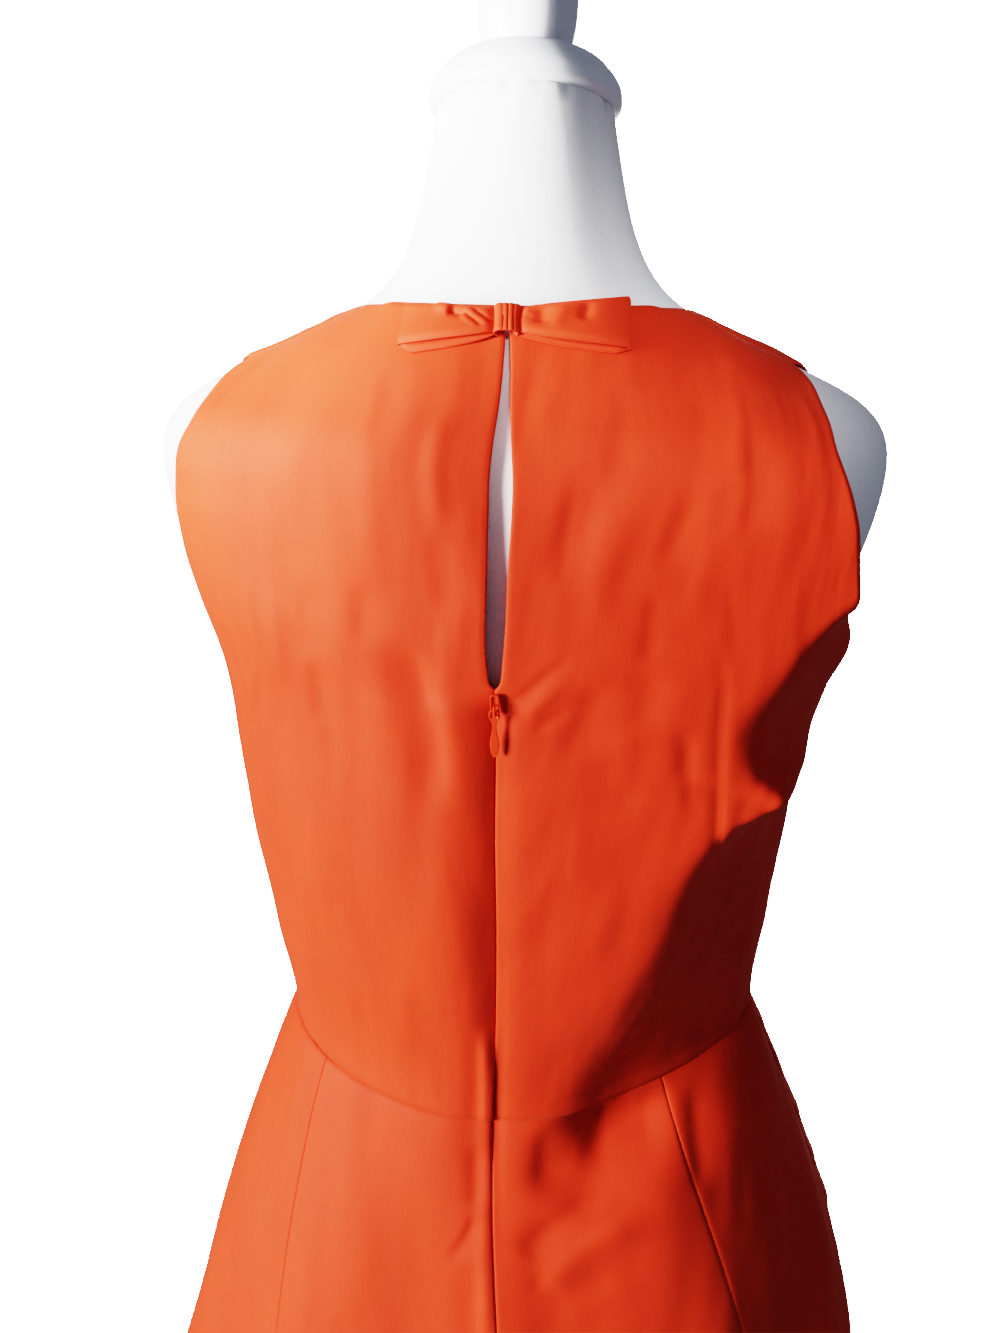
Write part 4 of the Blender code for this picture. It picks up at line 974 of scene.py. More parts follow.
# Small pleats and dents of the upper layer: along the loop from the knot, and up it from 0 to 1.
PleatRow = namedtuple("PleatRow", "along up end_along end_up width depth")
PLEATS = {
    "left": table(PleatRow, [
        (0.0055, 0.25, 0.0150, 0.95, 0.0008, -0.0008),
        (0.0075, 0.20, 0.0175, 0.90, 0.0008, 0.0007),
        (0.0095, 0.15, 0.0195, 0.85, 0.0008, -0.0007),
        (0.0120, 0.15, 0.0210, 0.75, 0.0009, 0.0006),
        (0.0175, 0.62, 0.0250, 0.80, 0.0018, -0.0022),
        (0.0230, 0.75, 0.0300, 1.05, 0.0030, 0.0014),
    ]),
    "right": table(PleatRow, [
        (0.0060, 0.10, 0.0090, 1.00, 0.0011, 0.0006),
        (0.0145, 0.95, 0.0155, 0.25, 0.0034, -0.0017),
        (0.0200, 0.15, 0.0240, 0.95, 0.0030, 0.0007),
        (0.0330, 0.95, 0.0320, 0.40, 0.0028, -0.0013),
        (0.0070, 0.60, 0.0110, 0.50, 0.0012, -0.0006),
    ]),
}


def pleated(side, along, up, height):
    """The sum of one loop's pleats."""
    rows = []
    for row in PLEATS[side]:
        line = (row.along, row.up * height, row.end_along, row.end_up * height)
        rows.append(Crease(*line, row.width, row.width, row.depth, PLEAT_FADE, PLEAT_FADE))
    return creased(rows, along, up * height)


# %% Make the loops
def bow_loop(side, sign, columns=46, rows=26):
    """One strip from the knot to the loop's end and back, as a grid along it and up it."""
    start, reach = KNOT_HALF - BOW_TUCK, BOW_REACH[side] - BOW_LAYERS / 2
    out = np.linspace(0, 1, columns)
    fold = np.linspace(-BOW_END, BOW_END, 9)
    under = BOW_CLEARANCE + BOW_WALL / 2
    puff = BOW_LIFT * np.clip(np.sin(pi * out[::-1]), 0, 1) ** BOW_PUFF_POWER
    round_end = BOW_LAYERS / 2 * (1 + np.sin(fold))
    lift = under + np.concatenate([0 * out, round_end, BOW_LAYERS + puff])
    straight = start + (reach - start) * out
    along = np.concatenate([straight, reach + BOW_LAYERS / 2 * np.cos(fold), straight[::-1]])
    upper = np.clip((lift - under) / BOW_LAYERS, 0, 1)
    share = (1 - np.cos(pi * np.linspace(0, 1, rows)[:, None])) / 2 + 0 * along[None, :]
    open_out = np.clip((along - KNOT_HALF) / (reach - KNOT_HALF), 0, 1) ** BOW_OPEN_POWER
    bottom = GATHERED_BOTTOM + (BOW_BOTTOM - GATHERED_BOTTOM) * open_out
    turned = ease_in((reach + BOW_LAYERS / 2 - along) / BOW_TURN)
    bottom = bottom - BOW_UNDER_DROP[side] * (1 - upper) * open_out * turned
    top = GATHERED_TOP + (BOW_TOP[side] - GATHERED_TOP) * open_out
    height = bottom + (top - bottom) * share
    wider = 1 + BOW_FLARE / reach * (1 - 2 * share) * along / reach
    opened = (BOW_OPEN + BOW_TILT * (share - 0.5)) * open_out
    lifted = lift + upper * (opened + pleated(side, along, share, BOW_TOP[side] - BOW_BOTTOM))
    lifted = lifted + BOW_UNDER_LIFT * (1 - upper)
    from_edge = (top - bottom) * np.minimum(share, 1 - share)
    lifted = lifted + roll(from_edge, BOW_ROUND, BOW_ROUND_WIDTH)
    pinched = ease_in((KNOT_HALF + BOW_PINCH_REACH - along) / BOW_PINCH_REACH)
    lifted = np.maximum(lifted - upper * BOW_PINCH * pinched, under + BOW_LEAST_GAP * upper)
    middle, _ = off_back(BOW_MIDDLE + sign * along * wider, height, lifted)
    normal = across_sheet(middle) * sign
    from_knot = np.cumsum(np.hypot(*np.gradient(np.stack([along, lift]), axis=1)))
    flat = np.stack([from_knot[None, :] + 0 * share, height], -1)
    return sheet_of("bow_" + side, middle + normal * BOW_WALL / 2, normal, flat, BOW_WALL)


for side, sign in SIDE.items():
    cloth_pieces["bow_loop_" + side] = bow_loop(side, sign)


# %% Make the knot
def bow_knot(columns=44, rows=24):
    """A band that comes from behind one side, over the front, and goes behind the other."""
    turn = np.linspace(-KNOT_TURN, KNOT_TURN, columns)[None, :]
    share = np.linspace(0, 1, rows)[:, None]
    rise = KNOT_BOTTOM + (KNOT_TOP - KNOT_BOTTOM) * share + 0 * turn
    waist = 1 - KNOT_WAIST * np.sin(pi * share)
    around = BOW_MIDDLE + KNOT_HALF * np.sin(turn) * waist
    lift = KNOT_LIFT + KNOT_CROWN * np.cos(turn) + 0 * share
    folds = 0.0
    for place_across, depth in KNOT_FOLDS:
        aside = np.sin(turn) - place_across - KNOT_FOLD_LEAN * (share - 0.5)
        folds = folds + depth * np.exp(-((aside / KNOT_FOLD_WIDTH) ** 2))
    lift = lift + folds * np.clip(np.cos(turn), 0, 1)
    lift = np.maximum(lift - KNOT_EDGE * (2 * share - 1) ** 4, BOW_CLEARANCE + BOW_WALL)
    points, _ = off_back(around, rise, lift)
    normal = across_sheet(points)
    flat = np.stack([turn * KNOT_HALF + 0 * share, rise], -1)
    return sheet_of("bow_knot_band", points, normal, flat, BOW_WALL)


cloth_pieces["bow_knot"] = bow_knot()
print("bow:", [len(cloth_pieces[n].data.polygons) for n in ("bow_loop_left", "bow_loop_right", "bow_knot")])

# %% [markdown]
# ## The zip
# A concealed zip lies behind the seam: only its slider and its pull show. The tape is a narrow
# woven strip, and its teeth are one coil of thick thread, so each tooth is a small bent loop.

# %% Make the tape
TAPE_HALF, TAPE, TAPE_CLEARANCE = 0.0110, 0.0008, 0.0007
ZIP_END, SLIDER_BOTTOM, SLIDER_TOP = -0.012, 0.2380, 0.2490
RIGHT_DIP_WIDTH = 0.0040  # right of the seam the dip ends sooner than on its left


def behind_seam(across, height, lift):
    """A point behind the centre back seam, lift in front of the tape's plain place."""
    around = smooth(EASE, "centre_back", height) + across
    points, normal = worn("back", around, height)
    left_dip = seam_valley(np.abs(across), height)
    right_dip = seam_valley(0 * across, height) * np.exp(-((across / RIGHT_DIP_WIDTH) ** 2))
    sunk = np.where(across > 0, left_dip, right_dip)
    return points + normal * (lift - TAPE_CLEARANCE - sunk)[..., None], normal


def zip_tape(columns=16, rows=150):
    """Both halves of the tape together, from the zip's end to just under the opening."""
    height = np.linspace(ZIP_END, KEYHOLE_BOTTOM - 0.002, rows)[:, None]
    across = TAPE_HALF * np.linspace(-1, 1, columns)[None, :] + 0 * height
    height = height + 0 * across
    points, normal = behind_seam(across, height, np.zeros_like(across))
    return sheet_of("zip_tape_strip", points, normal, np.stack([across, height], -1), TAPE)


tape = zip_tape()
print("tape:", len(tape.data.polygons), "faces")


# %% Tools for modelling by hand
FACING = 0.9  # a face looks along an axis when its normal has at least this much of it
SHARP, SHARP_TURNED = radians(40), radians(35)  # edges that turn by more than this are sharp
STEP_TURNED = radians(14)  # steps of a turned profile that turn by more than this are rounded


def all_off():
    """Leaves edit mode and deselects everything."""
    if bpy.context.object and bpy.context.object.mode != "OBJECT":
        bpy.ops.object.mode_set(mode="OBJECT")
    bpy.ops.object.select_all(action="DESELECT")


def only(piece):
    all_off()
    piece.select_set(True)
    bpy.context.view_layer.objects.active = piece
    return piece


def edit_all():
    """Enters edit mode with everything selected."""
    bpy.ops.object.mode_set(mode="EDIT")
    bpy.ops.mesh.select_all(action="SELECT")


def leave_edit(inside=False):
    """Turns all faces outwards, or inwards, and leaves edit mode."""
    bpy.ops.mesh.select_all(action="SELECT")
    bpy.ops.mesh.normals_make_consistent(inside=inside)
    bpy.ops.object.mode_set(mode="OBJECT")


def draw_out(*by):
    """Extrudes the selected faces."""
    bpy.ops.mesh.extrude_region_move(TRANSFORM_OT_translate={"value": by})


def apply_place():
    """Keeps the active piece's place and turn in its mesh."""
    bpy.ops.object.transform_apply(location=True, rotation=True, scale=True)


def settle(piece, turn=(0, 0, 0), at=(0, 0, 0)):
    """Puts a finished piece in its place."""
    only(piece)
    piece.rotation_euler = turn
    piece.location = at
    apply_place()
    return piece


def modify(piece, kind, **settings):
    """Adds a modifier with its settings and applies it."""
    only(piece)
    modifier = piece.modifiers.new(kind.title(), kind)
    for name, value in settings.items():
        setattr(modifier, name, value)
    bpy.ops.object.modifier_apply(modifier=modifier.name)


def pick(piece, kind, wanted):
    """Selects the faces, edges or points that pass a test of their middle and themselves."""
    bpy.ops.object.mode_set(mode="EDIT")
    bpy.ops.mesh.select_mode(type=kind)
    bpy.ops.mesh.select_all(action="DESELECT")
    body = bmesh.from_edit_mesh(piece.data)
    for part in {"FACE": body.faces, "EDGE": body.edges, "VERT": body.verts}[kind]:
        points = [part] if kind == "VERT" else part.verts
        middle = sum((v.co for v in points), Vector()) / len(points)
        part.select_set(bool(wanted(middle, part)))
    body.select_flush_mode()
    bmesh.update_edit_mesh(piece.data)


# %% Make the teeth
# One tooth is a small ring, drawn out sideways and flattened. Copies stand along the seam.
TOOTH_PITCH = 0.0016
TOOTH_HALF, TOOTH_THICK = 0.0016, 0.0005
TOOTH_SHAPE = (1.7, 0.75, 1.0)
all_off()
bpy.ops.mesh.primitive_torus_add(
    major_segments=8, minor_segments=4, major_radius=TOOTH_HALF / 2, minor_radius=TOOTH_THICK / 2
)
tooth = bpy.context.object
edit_all()
bpy.ops.transform.resize(value=TOOTH_SHAPE)
bpy.ops.object.mode_set(mode="OBJECT")
tooth_points = np.array([v.co[:] for v in tooth.data.vertices])
tooth_faces = np.array([f.vertices[:] for f in tooth.data.polygons])
bpy.data.objects.remove(tooth)

heights = np.arange(ZIP_END + 0.004, SLIDER_BOTTOM, TOOTH_PITCH)
depth = np.full_like(heights, -TAPE - TOOTH_HALF * 0.6)
at, normal = behind_seam(0 * heights, heights, depth)
up = np.array([0.0, 0.0, 1.0])
aside = np.cross(up, normal)
aside /= np.linalg.norm(aside, axis=1, keepdims=True)
along = np.cross(normal, aside)
points = [at[i] + tooth_points @ np.stack([aside[i], normal[i], along[i]]) for i in range(len(at))]
faces = [tooth_faces + i * len(tooth_points) for i in range(len(at))]
mesh = bpy.data.meshes.new("zip_teeth")
mesh.from_pydata(np.concatenate(points).tolist(), [], np.concatenate(faces).tolist())
teeth = bpy.data.objects.new("zip_teeth", mesh)
bpy.context.scene.collection.objects.link(teeth)
only(teeth)
edit_all()
leave_edit()
bpy.ops.object.shade_smooth()
print("teeth:", len(heights))

# %% [markdown]
# The slider is a small casting: a plate with a raised rim, and a bridge over its lower half. The
# pull is stamped from sheet, so its edges are rounded, and its eye goes round the bridge. Both are
# made round the hinge, the line through the bridge that the pull turns about, and then put there.

# %% Make the slider
SLIDER_HALF, SLIDER_PLATE = 0.0021, 0.0015
SLIDER_CORNER, SLIDER_RIM, SLIDER_EDGE = 0.0015, 0.0008, 0.00018
BRIDGE_START, BRIDGE_REACH, BRIDGE_ROOM = 0.0004, 0.0029, 0.0022
BRIDGE_HALF, BRIDGE_WALL = 0.0006, 0.0009
BRIDGE_FOOT, BRIDGE_EDGE = 0.0008, 0.0004  # the block it starts from, and its rounding

hinge_height = np.array(SLIDER_BOTTOM + BRIDGE_START + BRIDGE_REACH)
hinge_around = smooth(EASE, "centre_back", hinge_height)
hinge_lift = np.array(SEAM_GAP + SLIDER_PLATE + BRIDGE_ROOM / 2)
HINGE = off_back(hinge_around, hinge_height, hinge_lift)[0].tolist()


def make_slider():
    """The plate is a block with rounded corners and a sunk middle; the bridge is joined to it."""
    half_height = (SLIDER_TOP - SLIDER_BOTTOM) / 2
    plate_y = -BRIDGE_ROOM / 2 - SLIDER_PLATE / 2
    plate_z = half_height - BRIDGE_START - BRIDGE_REACH
    all_off()
    bpy.ops.mesh.primitive_cube_add(size=1, location=(0, plate_y, plate_z))
    plate = bpy.context.object
    edit_all()
    bpy.ops.transform.resize(value=(2 * SLIDER_HALF, SLIDER_PLATE, 2 * half_height))
    pick(plate, "EDGE", lambda _, e: abs((e.verts[0].co - e.verts[1].co).y) > SLIDER_PLATE / 2)
    bpy.ops.mesh.bevel(offset=SLIDER_CORNER, segments=5, affect="EDGES")
    pick(plate, "FACE", lambda _, f: f.normal.y > FACING)
    bpy.ops.mesh.inset(thickness=SLIDER_RIM)
    draw_out(0, -SLIDER_RIM, 0)
    bpy.ops.object.mode_set(mode="OBJECT")
    apply_place()
    modify(plate, "BEVEL", width=SLIDER_EDGE, segments=2, limit_method="ANGLE", angle_limit=SHARP)

    # The bridge starts as its lower foot and is drawn up, over and down again.
    all_off()
    bpy.ops.mesh.primitive_cube_add(size=1, location=(0, plate_y, BRIDGE_WALL / 2 - BRIDGE_REACH))
    bridge = bpy.context.object
    edit_all()
    bpy.ops.transform.resize(value=(2 * BRIDGE_HALF, BRIDGE_FOOT, BRIDGE_WALL))
    pick(bridge, "FACE", lambda _, f: f.normal.y > FACING)
    rise = BRIDGE_ROOM / 2 - plate_y - BRIDGE_FOOT / 2
    draw_out(0, rise, 0)
    draw_out(0, BRIDGE_WALL, 0)
    pick(bridge, "FACE", lambda at, f: f.normal.z > FACING and at.y > BRIDGE_ROOM / 2 - plate_y)
    across_z = 2 * (BRIDGE_REACH - BRIDGE_WALL)
    draw_out(0, 0, across_z)
    draw_out(0, 0, BRIDGE_WALL)
    pick(bridge, "FACE", lambda at, f: f.normal.y < -FACING and at.z > across_z and at.y > 0)
    draw_out(0, -rise, 0)
    leave_edit()
    apply_place()
    modify(bridge, "BEVEL", width=BRIDGE_EDGE, segments=3, limit_method="ANGLE", angle_limit=SHARP)
    modify(plate, "BOOLEAN", object=bridge, operation="UNION", solver="EXACT")
    bpy.data.objects.remove(bridge)
    plate.name = plate.data.name = "zip_slider_casting"
    only(plate)
    bpy.ops.object.shade_smooth_by_angle(angle=SHARP)
    return settle(plate, at=HINGE)


slider = make_slider()
print("slider:", len(slider.data.polygons), "faces")

# %% Make the pull
PULL_SHEET, PULL_LEAN = 0.0009, radians(4.5)
PullRow = namedtuple("PullRow", "drop half")
PULL = table(PullRow, [
    (-0.0005, 0.0016),
    (0.0005, 0.0026),
    (0.0020, 0.0028),
    (0.0036, 0.0027),
    (0.0047, 0.0022),
    (0.0058, 0.0012),
    (0.0088, 0.0009),
    (0.0120, 0.0013),
    (0.0145, 0.0019),
    (0.0175, 0.0023),
    (0.0205, 0.0022),
    (0.0230, 0.0016),
    (0.0246, 0.0009),
    (0.0255, 0.0003),
])
EYE_ROWS = (0.0004, 0.0037)
EYE_HALF = 0.0014


def make_pull():
    """A grid whose rows are widened to the outline, opened at the eye, then given its thickness."""
    all_off()
    bpy.ops.mesh.primitive_grid_add(x_subdivisions=6, y_subdivisions=len(PULL) - 1, size=2)
    pull = bpy.context.object
    pull.rotation_euler = (pi / 2, 0, 0)
    apply_place()
    rows = np.linspace(1, -1, len(PULL))
    for row, height in zip(PULL, rows):
        pick(pull, "VERT", lambda at, _: abs(at.z - height) < 1e-3 and abs(at.y) < 1e-3)
        bpy.ops.transform.translate(value=(0, 5, -row.drop - height))
        bpy.ops.transform.resize(value=(row.half, 1, 1), center_override=(0, 5, -row.drop))
    bpy.ops.mesh.select_all(action="SELECT")
    bpy.ops.transform.translate(value=(0, -5, 0))
    low, high = EYE_ROWS
    pick(pull, "FACE", lambda middle, _: low < -middle.z < high and abs(middle.x) < EYE_HALF)
    bpy.ops.mesh.delete(type="FACE")
    bpy.ops.object.mode_set(mode="OBJECT")
    modify(pull, "SOLIDIFY", thickness=PULL_SHEET, offset=0, use_even_offset=True)
    modify(pull, "SUBSURF", levels=2, render_levels=2)
    pull.name = pull.data.name = "zip_pull_teardrop"
    only(pull)
    edit_all()
    leave_edit()
    bpy.ops.object.shade_smooth()
    return settle(pull, turn=(-PULL_LEAN, 0, 0), at=HINGE)


pull = make_pull()

# %% [markdown]
# ## The dress form and its stand
# The form's body is padded and covered with tight white jersey, so it is one smooth shape: a copy of
# its solid with its faces joined up and subdivided. The cap, the finial, the collar, the pole
# and the base are turned on a lathe, so each starts as a disc that is drawn up through its profile.

# %% Profiles of the turned pieces
ProfileRow = namedtuple("ProfileRow", "height radius")
NECK_CAP = table(ProfileRow, [
    (0.0000, 0.0435),
    (0.0022, 0.0458),
    (0.0060, 0.0466),
    (0.0098, 0.0461),
    (0.0130, 0.0446),
    (0.0168, 0.0418),
    (0.0228, 0.0352),
    (0.0280, 0.0230),
])
FINIAL = table(ProfileRow, [
    (0.0000, 0.0205),
    (0.0060, 0.0222),
    (0.0150, 0.0238),
    (0.0250, 0.0243),
    (0.0360, 0.0230),
    (0.0460, 0.0185),
    (0.0525, 0.0105),
])
COLLAR = table(ProfileRow, [
    (-0.0450, 0.0140),
    (-0.0420, 0.0230),
    (-0.0160, 0.0230),
    (-0.0070, 0.0420),
    (0.0000, 0.0420),
])
BASE = table(ProfileRow, [
    (0.0000, 0.1780),
    (0.0030, 0.1800),
    (0.0080, 0.1790),
    (0.0110, 0.1740),
    (0.0190, 0.0600),
    (0.0260, 0.0300),
    (0.0420, 0.0240),
    (0.0480, 0.0210),
])
POLE_RADIUS = 0.0125
FORM_LOW, NECK_TOP, NECK_MIDDLE, NECK_SLOPE = -0.270, 0.495, -0.022, 0.40


def on_lathe(name, profile, segments, rounding):
    """Adds a disc, draws it up through a profile, and rounds the steps with a bevel."""
    all_off()
    first = profile[0]
    bpy.ops.mesh.primitive_circle_add(
        vertices=segments, radius=first.radius, fill_type="NGON", location=(0, 0, first.height)
    )
    piece = bpy.context.object
    bpy.ops.object.mode_set(mode="EDIT")
    for row, following in zip(profile, profile[1:]):
        draw_out(0, 0, following.height - row.height)
        wider = following.radius / row.radius
        bpy.ops.transform.resize(value=(wider, wider, 1), center_override=(0, 0, following.height))
    leave_edit()
    apply_place()
    if rounding:
        modify(piece, "BEVEL", width=rounding, segments=3, limit_method="ANGLE", angle_limit=STEP_TURNED)
    piece.name = piece.data.name = name
    only(piece)
    bpy.ops.object.shade_smooth_by_angle(angle=SHARP_TURNED)
    return piece


def even_profile(rows, count):
    """A smooth profile read from a table's few rows."""
    heights = np.linspace(rows[0].height, rows[-1].height, count)
    return [ProfileRow(float(h), float(smooth(rows, "radius", h))) for h in heights]


# %% Turn them
tilt = np.arctan(NECK_SLOPE)
neck_up = Vector((0, -sin(tilt), cos(tilt)))
neck_top = Vector((0, NECK_MIDDLE, WAIST_HEIGHT + NECK_TOP))
cap = on_lathe("neck_cap_turned", even_profile(NECK_CAP, 28), 96, 0)
settle(cap, turn=(tilt, 0, 0), at=neck_top + neck_up * SEAM_GAP)
finial = on_lathe("finial_turned", even_profile(FINIAL, 26), 72, 0.0012)
settle(finial, turn=(tilt, 0, 0), at=neck_top + neck_up * (NECK_CAP[-1].height + 2 * SEAM_GAP))

form_under = WAIST_HEIGHT + FORM_LOW - SEAM_GAP
collar = settle(on_lathe("pole_collar_turned", COLLAR, 64, 0.0012), at=(0, 0, form_under))
base = on_lathe("base_spun", BASE, 128, 0.0015)
foot = BASE[-1].height + SEAM_GAP
pole_top = form_under + COLLAR[0].height - SEAM_GAP
pole_rows = [ProfileRow(height, POLE_RADIUS) for height in (foot, foot + 0.001, pole_top)]
pole = on_lathe("pole_tube", pole_rows, 48, 0.0006)
print("turned:", [len(o.data.polygons) for o in (cap, finial, collar, base, pole)])

# %% Smooth the form's body
all_off()
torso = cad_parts["form_torso"].copy()
torso.data = torso.data.copy()
torso.name = torso.data.name = "form_cover_jersey"
for mark in [key for key in torso.keys() if key.startswith("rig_")]:
    del torso[mark]
bpy.context.scene.collection.objects.link(torso)
only(torso)
edit_all()
bpy.ops.mesh.remove_doubles(threshold=0.00002)
bpy.ops.mesh.tris_convert_to_quads(face_threshold=radians(60), shape_threshold=radians(80))
bpy.ops.mesh.normals_make_consistent(inside=False)
bpy.ops.mesh.select_all(action="DESELECT")
bpy.ops.mesh.select_mode(type="EDGE")
bpy.ops.mesh.edges_select_sharp(sharpness=radians(55))
bpy.ops.transform.edge_crease(value=0.9)
bpy.ops.object.mode_set(mode="OBJECT")
torso.data.materials.clear()
modify(torso, "SUBSURF", levels=2, render_levels=2)
only(torso)
bpy.ops.object.shade_smooth_by_angle(angle=radians(50))
print("form:", len(torso.data.polygons), "faces")

# %% [markdown]
# ## Finishes
# Each finish starts from what the real thing is made of. A pattern's size is given in millimetres
# and turned into the scale that its node wants. Cloth reads its own UV map, where one unit is one
# metre of flat cloth, so threads run with the grain of each piece.

# %% Tools for finishes
def linear(hex_colour):
    """An sRGB hex colour as linear red, green, blue and alpha."""
    parts = [int(hex_colour[i : i + 2], 16) / 255 for i in (1, 3, 5)]
    return (*[p / 12.92 if p <= 0.04045 else ((p + 0.055) / 1.055) ** 2.4 for p in parts], 1.0)


def new_finish(name):
    """A node material, its tree and its Principled shader."""
    material = bpy.data.materials.new(name)
    material.use_nodes = True
    return material, material.node_tree, material.node_tree.nodes["Principled BSDF"]


def node(tree, kind, settings=(), **sockets):
    """Adds a node. A socket gets a value, or a link from another node's output."""
    made = tree.nodes.new(kind)
    for name, value in dict(settings).items():
        setattr(made, name, value)
    for name, value in sockets.items():
        key = name.replace("_", " ")
        socket = made.inputs[int(key[1:])] if key[0] == "i" and key[1:].isdigit() else made.inputs[key]
        if isinstance(value, bpy.types.NodeSocket):
            tree.links.new(value, socket)
        else:
            socket.default_value = value
    return made


def bands_per(period_mm):
    """The scale of a Wave texture whose bands repeat every period, on coordinates in metres."""
    return pi / 10 / (period_mm / 1000)


def grains_per(size_mm):
    """The scale of a Noise texture whose grains are about this big, on coordinates in metres."""
    return 1 / (size_mm / 1000)


def on_object(tree):
    """The place on the piece, in metres."""
    return node(tree, "ShaderNodeTexCoord").outputs["Object"]


def grains(tree, place_on, size_mm, detail=3.0, squeeze=None):
    """A grainy pattern. A squeeze below 1 draws the grains out along that axis."""
    if squeeze:
        place_on = node(tree, "ShaderNodeMapping", Vector=place_on, Scale=squeeze).outputs[0]
    scale = grains_per(size_mm)
    return node(tree, "ShaderNodeTexNoise", Vector=place_on, Scale=scale, Detail=detail).outputs["Fac"]


def threads(tree, place_on, direction, period_mm):
    """A pattern of parallel threads."""
    settings = {"wave_type": "BANDS", "bands_direction": direction}
    scale = bands_per(period_mm)
    return node(
        tree, "ShaderNodeTexWave", settings, Vector=place_on, Scale=scale, Distortion=0.6, Detail=1.0
    ).outputs["Fac"]


def product(tree, a, b):
    return node(tree, "ShaderNodeMath", {"operation": "MULTIPLY"}, i0=a, i1=b).outputs[0]


def mapped(tree, pattern, low, high, start=0.0, end=1.0):
    """Spreads a pattern's values, from start to end, over low to high."""
    return node(
        tree, "ShaderNodeMapRange", Value=pattern, From_Min=start, From_Max=end, To_Min=low, To_Max=high
    ).outputs[0]


def tinted(tree, shader, hex_colour, factor):
    """Gives the shader a colour, made darker and lighter by a factor."""
    colour = linear(hex_colour)[:3]
    scaled = node(tree, "ShaderNodeVectorMath", {"operation": "SCALE"}, i0=colour, Scale=factor)
    tree.links.new(scaled.outputs[0], shader.inputs["Base Color"])


def bumped(tree, shader, *layers):
    """Lays bumps over one another. Each has a pattern, a strength, and a depth in metres."""
    below = {}
    for pattern, strength, depth in layers:
        bump = node(tree, "ShaderNodeBump", Strength=strength, Distance=depth, Height=pattern, **below)
        below = {"Normal": bump.outputs[0]}
    tree.links.new(below["Normal"], shader.inputs["Normal"])


def set_shader(shader, **values):
    """Sets inputs of the shader by their names."""
    for name, value in values.items():
        shader.inputs[name.replace("_", " ")].default_value = value


# %% Woven dress cloth: polyester and viscose twill-faced crepe, piece-dyed, matt
# Its threads are about 0.25 mm, too fine to show, so the weave is drawn at 0.9 mm. What the eye
# gets is a matt, slightly grainy face with faint upright streaks from uneven yarn.
CLOTH_COLOUR = "#D44021"
STREAK = 0.05


def woven_cloth(name, hex_colour, thread_mm):
    material, tree, shader = new_finish(name)
    grain = node(tree, "ShaderNodeUVMap", {"uv_map": "grain"}).outputs[0]
    yarn = grains(tree, grain, 1.6, detail=4.0, squeeze=(1.0, 0.14, 1.0))
    dye = grains(tree, grain, 45, squeeze=(1.0, 0.45, 1.0))
    weave = product(tree, threads(tree, grain, "X", thread_mm), threads(tree, grain, "Y", thread_mm))
    mottle = grains(tree, grain, 0.9)
    streaks = mapped(tree, yarn, 1 - STREAK, 1 + STREAK / 2, start=0.3, end=0.7)
    uneven_dye = mapped(tree, dye, 0.94, 1.05, start=0.35, end=0.65)
    tinted(tree, shader, hex_colour, product(tree, streaks, uneven_dye))
    bumped(tree, shader, (weave, 0.15, 0.00012), (yarn, 0.3, 0.00010), (mottle, 0.4, 0.00012))
    set_shader(shader, Roughness=0.72, IOR=1.48, Specular_IOR_Level=0.35)
    set_shader(shader, Sheen_Weight=0.10, Sheen_Roughness=0.45, Sheen_Tint=linear("#FFC9A8"))
    return material


dress_cloth = woven_cloth("crepe_woven_dyed_orange", CLOTH_COLOUR, 0.9)
tape_cloth = woven_cloth("zip_tape_woven_polyester", "#C8380F", 1.0)


# %% Enamelled zinc of the zip
# Zinc is cast or stamped, then dipped in coloured enamel: a nearly even colour with a soft gloss
# and a fine orange peel.
def enamelled_zinc(name, hex_colour):
    material, tree, shader = new_finish(name)
    orange_peel = grains(tree, on_object(tree), 0.8, detail=2.0)
    tinted(tree, shader, hex_colour, mapped(tree, orange_peel, 0.94, 1.06))
    bumped(tree, shader, (orange_peel, 0.25, 0.00004))
    set_shader(shader, Roughness=0.38, IOR=1.5)
    return material


zip_enamel = enamelled_zinc("zinc_enamelled_orange", "#D9421F")


# %% White jersey of the form
# A fine knit stretched tight: matt and soft, with faint upright ribs and a slightly mottled face.
# Its loops are about 0.4 mm, drawn at 1.1 mm so that they show.
def white_jersey(name):
    material, tree, shader = new_finish(name)
    place_on = on_object(tree)
    mottle = grains(tree, place_on, 1.1)
    ribs = grains(tree, place_on, 9, squeeze=(1.0, 1.0, 0.10))
    tinted(tree, shader, "#F4F4F5", mapped(tree, mottle, 0.95, 1.02, start=0.3, end=0.7))
    bumped(tree, shader, (mottle, 0.5, 0.00015), (ribs, 0.2, 0.0010))
    set_shader(shader, Roughness=0.78, Sheen_Weight=0.08, Sheen_Roughness=0.5)
    return material


# %% Painted wood and powder-coated steel of the stand
# Turned wood is painted in several coats, so its gloss is soft and faint rings show under it.
# Powder coat is even, with a very fine orange peel. Both are plain white.
def painted(name, hex_colour, roughness, rings_mm, peel_mm, coat):
    material, tree, shader = new_finish(name)
    place_on = on_object(tree)
    rings = grains(tree, place_on, rings_mm, squeeze=(0.05, 0.05, 1.0))
    peel = grains(tree, place_on, peel_mm, detail=2.0)
    tinted(tree, shader, hex_colour, mapped(tree, rings, 0.96, 1.02))
    bumped(tree, shader, (rings, 0.25, 0.00008), (peel, 0.3, 0.00005))
    worn_gloss = mapped(tree, peel, roughness - 0.05, roughness + 0.05)
    tree.links.new(worn_gloss, shader.inputs["Roughness"])
    set_shader(shader, IOR=1.5, Coat_Weight=coat, Coat_Roughness=0.25)
    return material


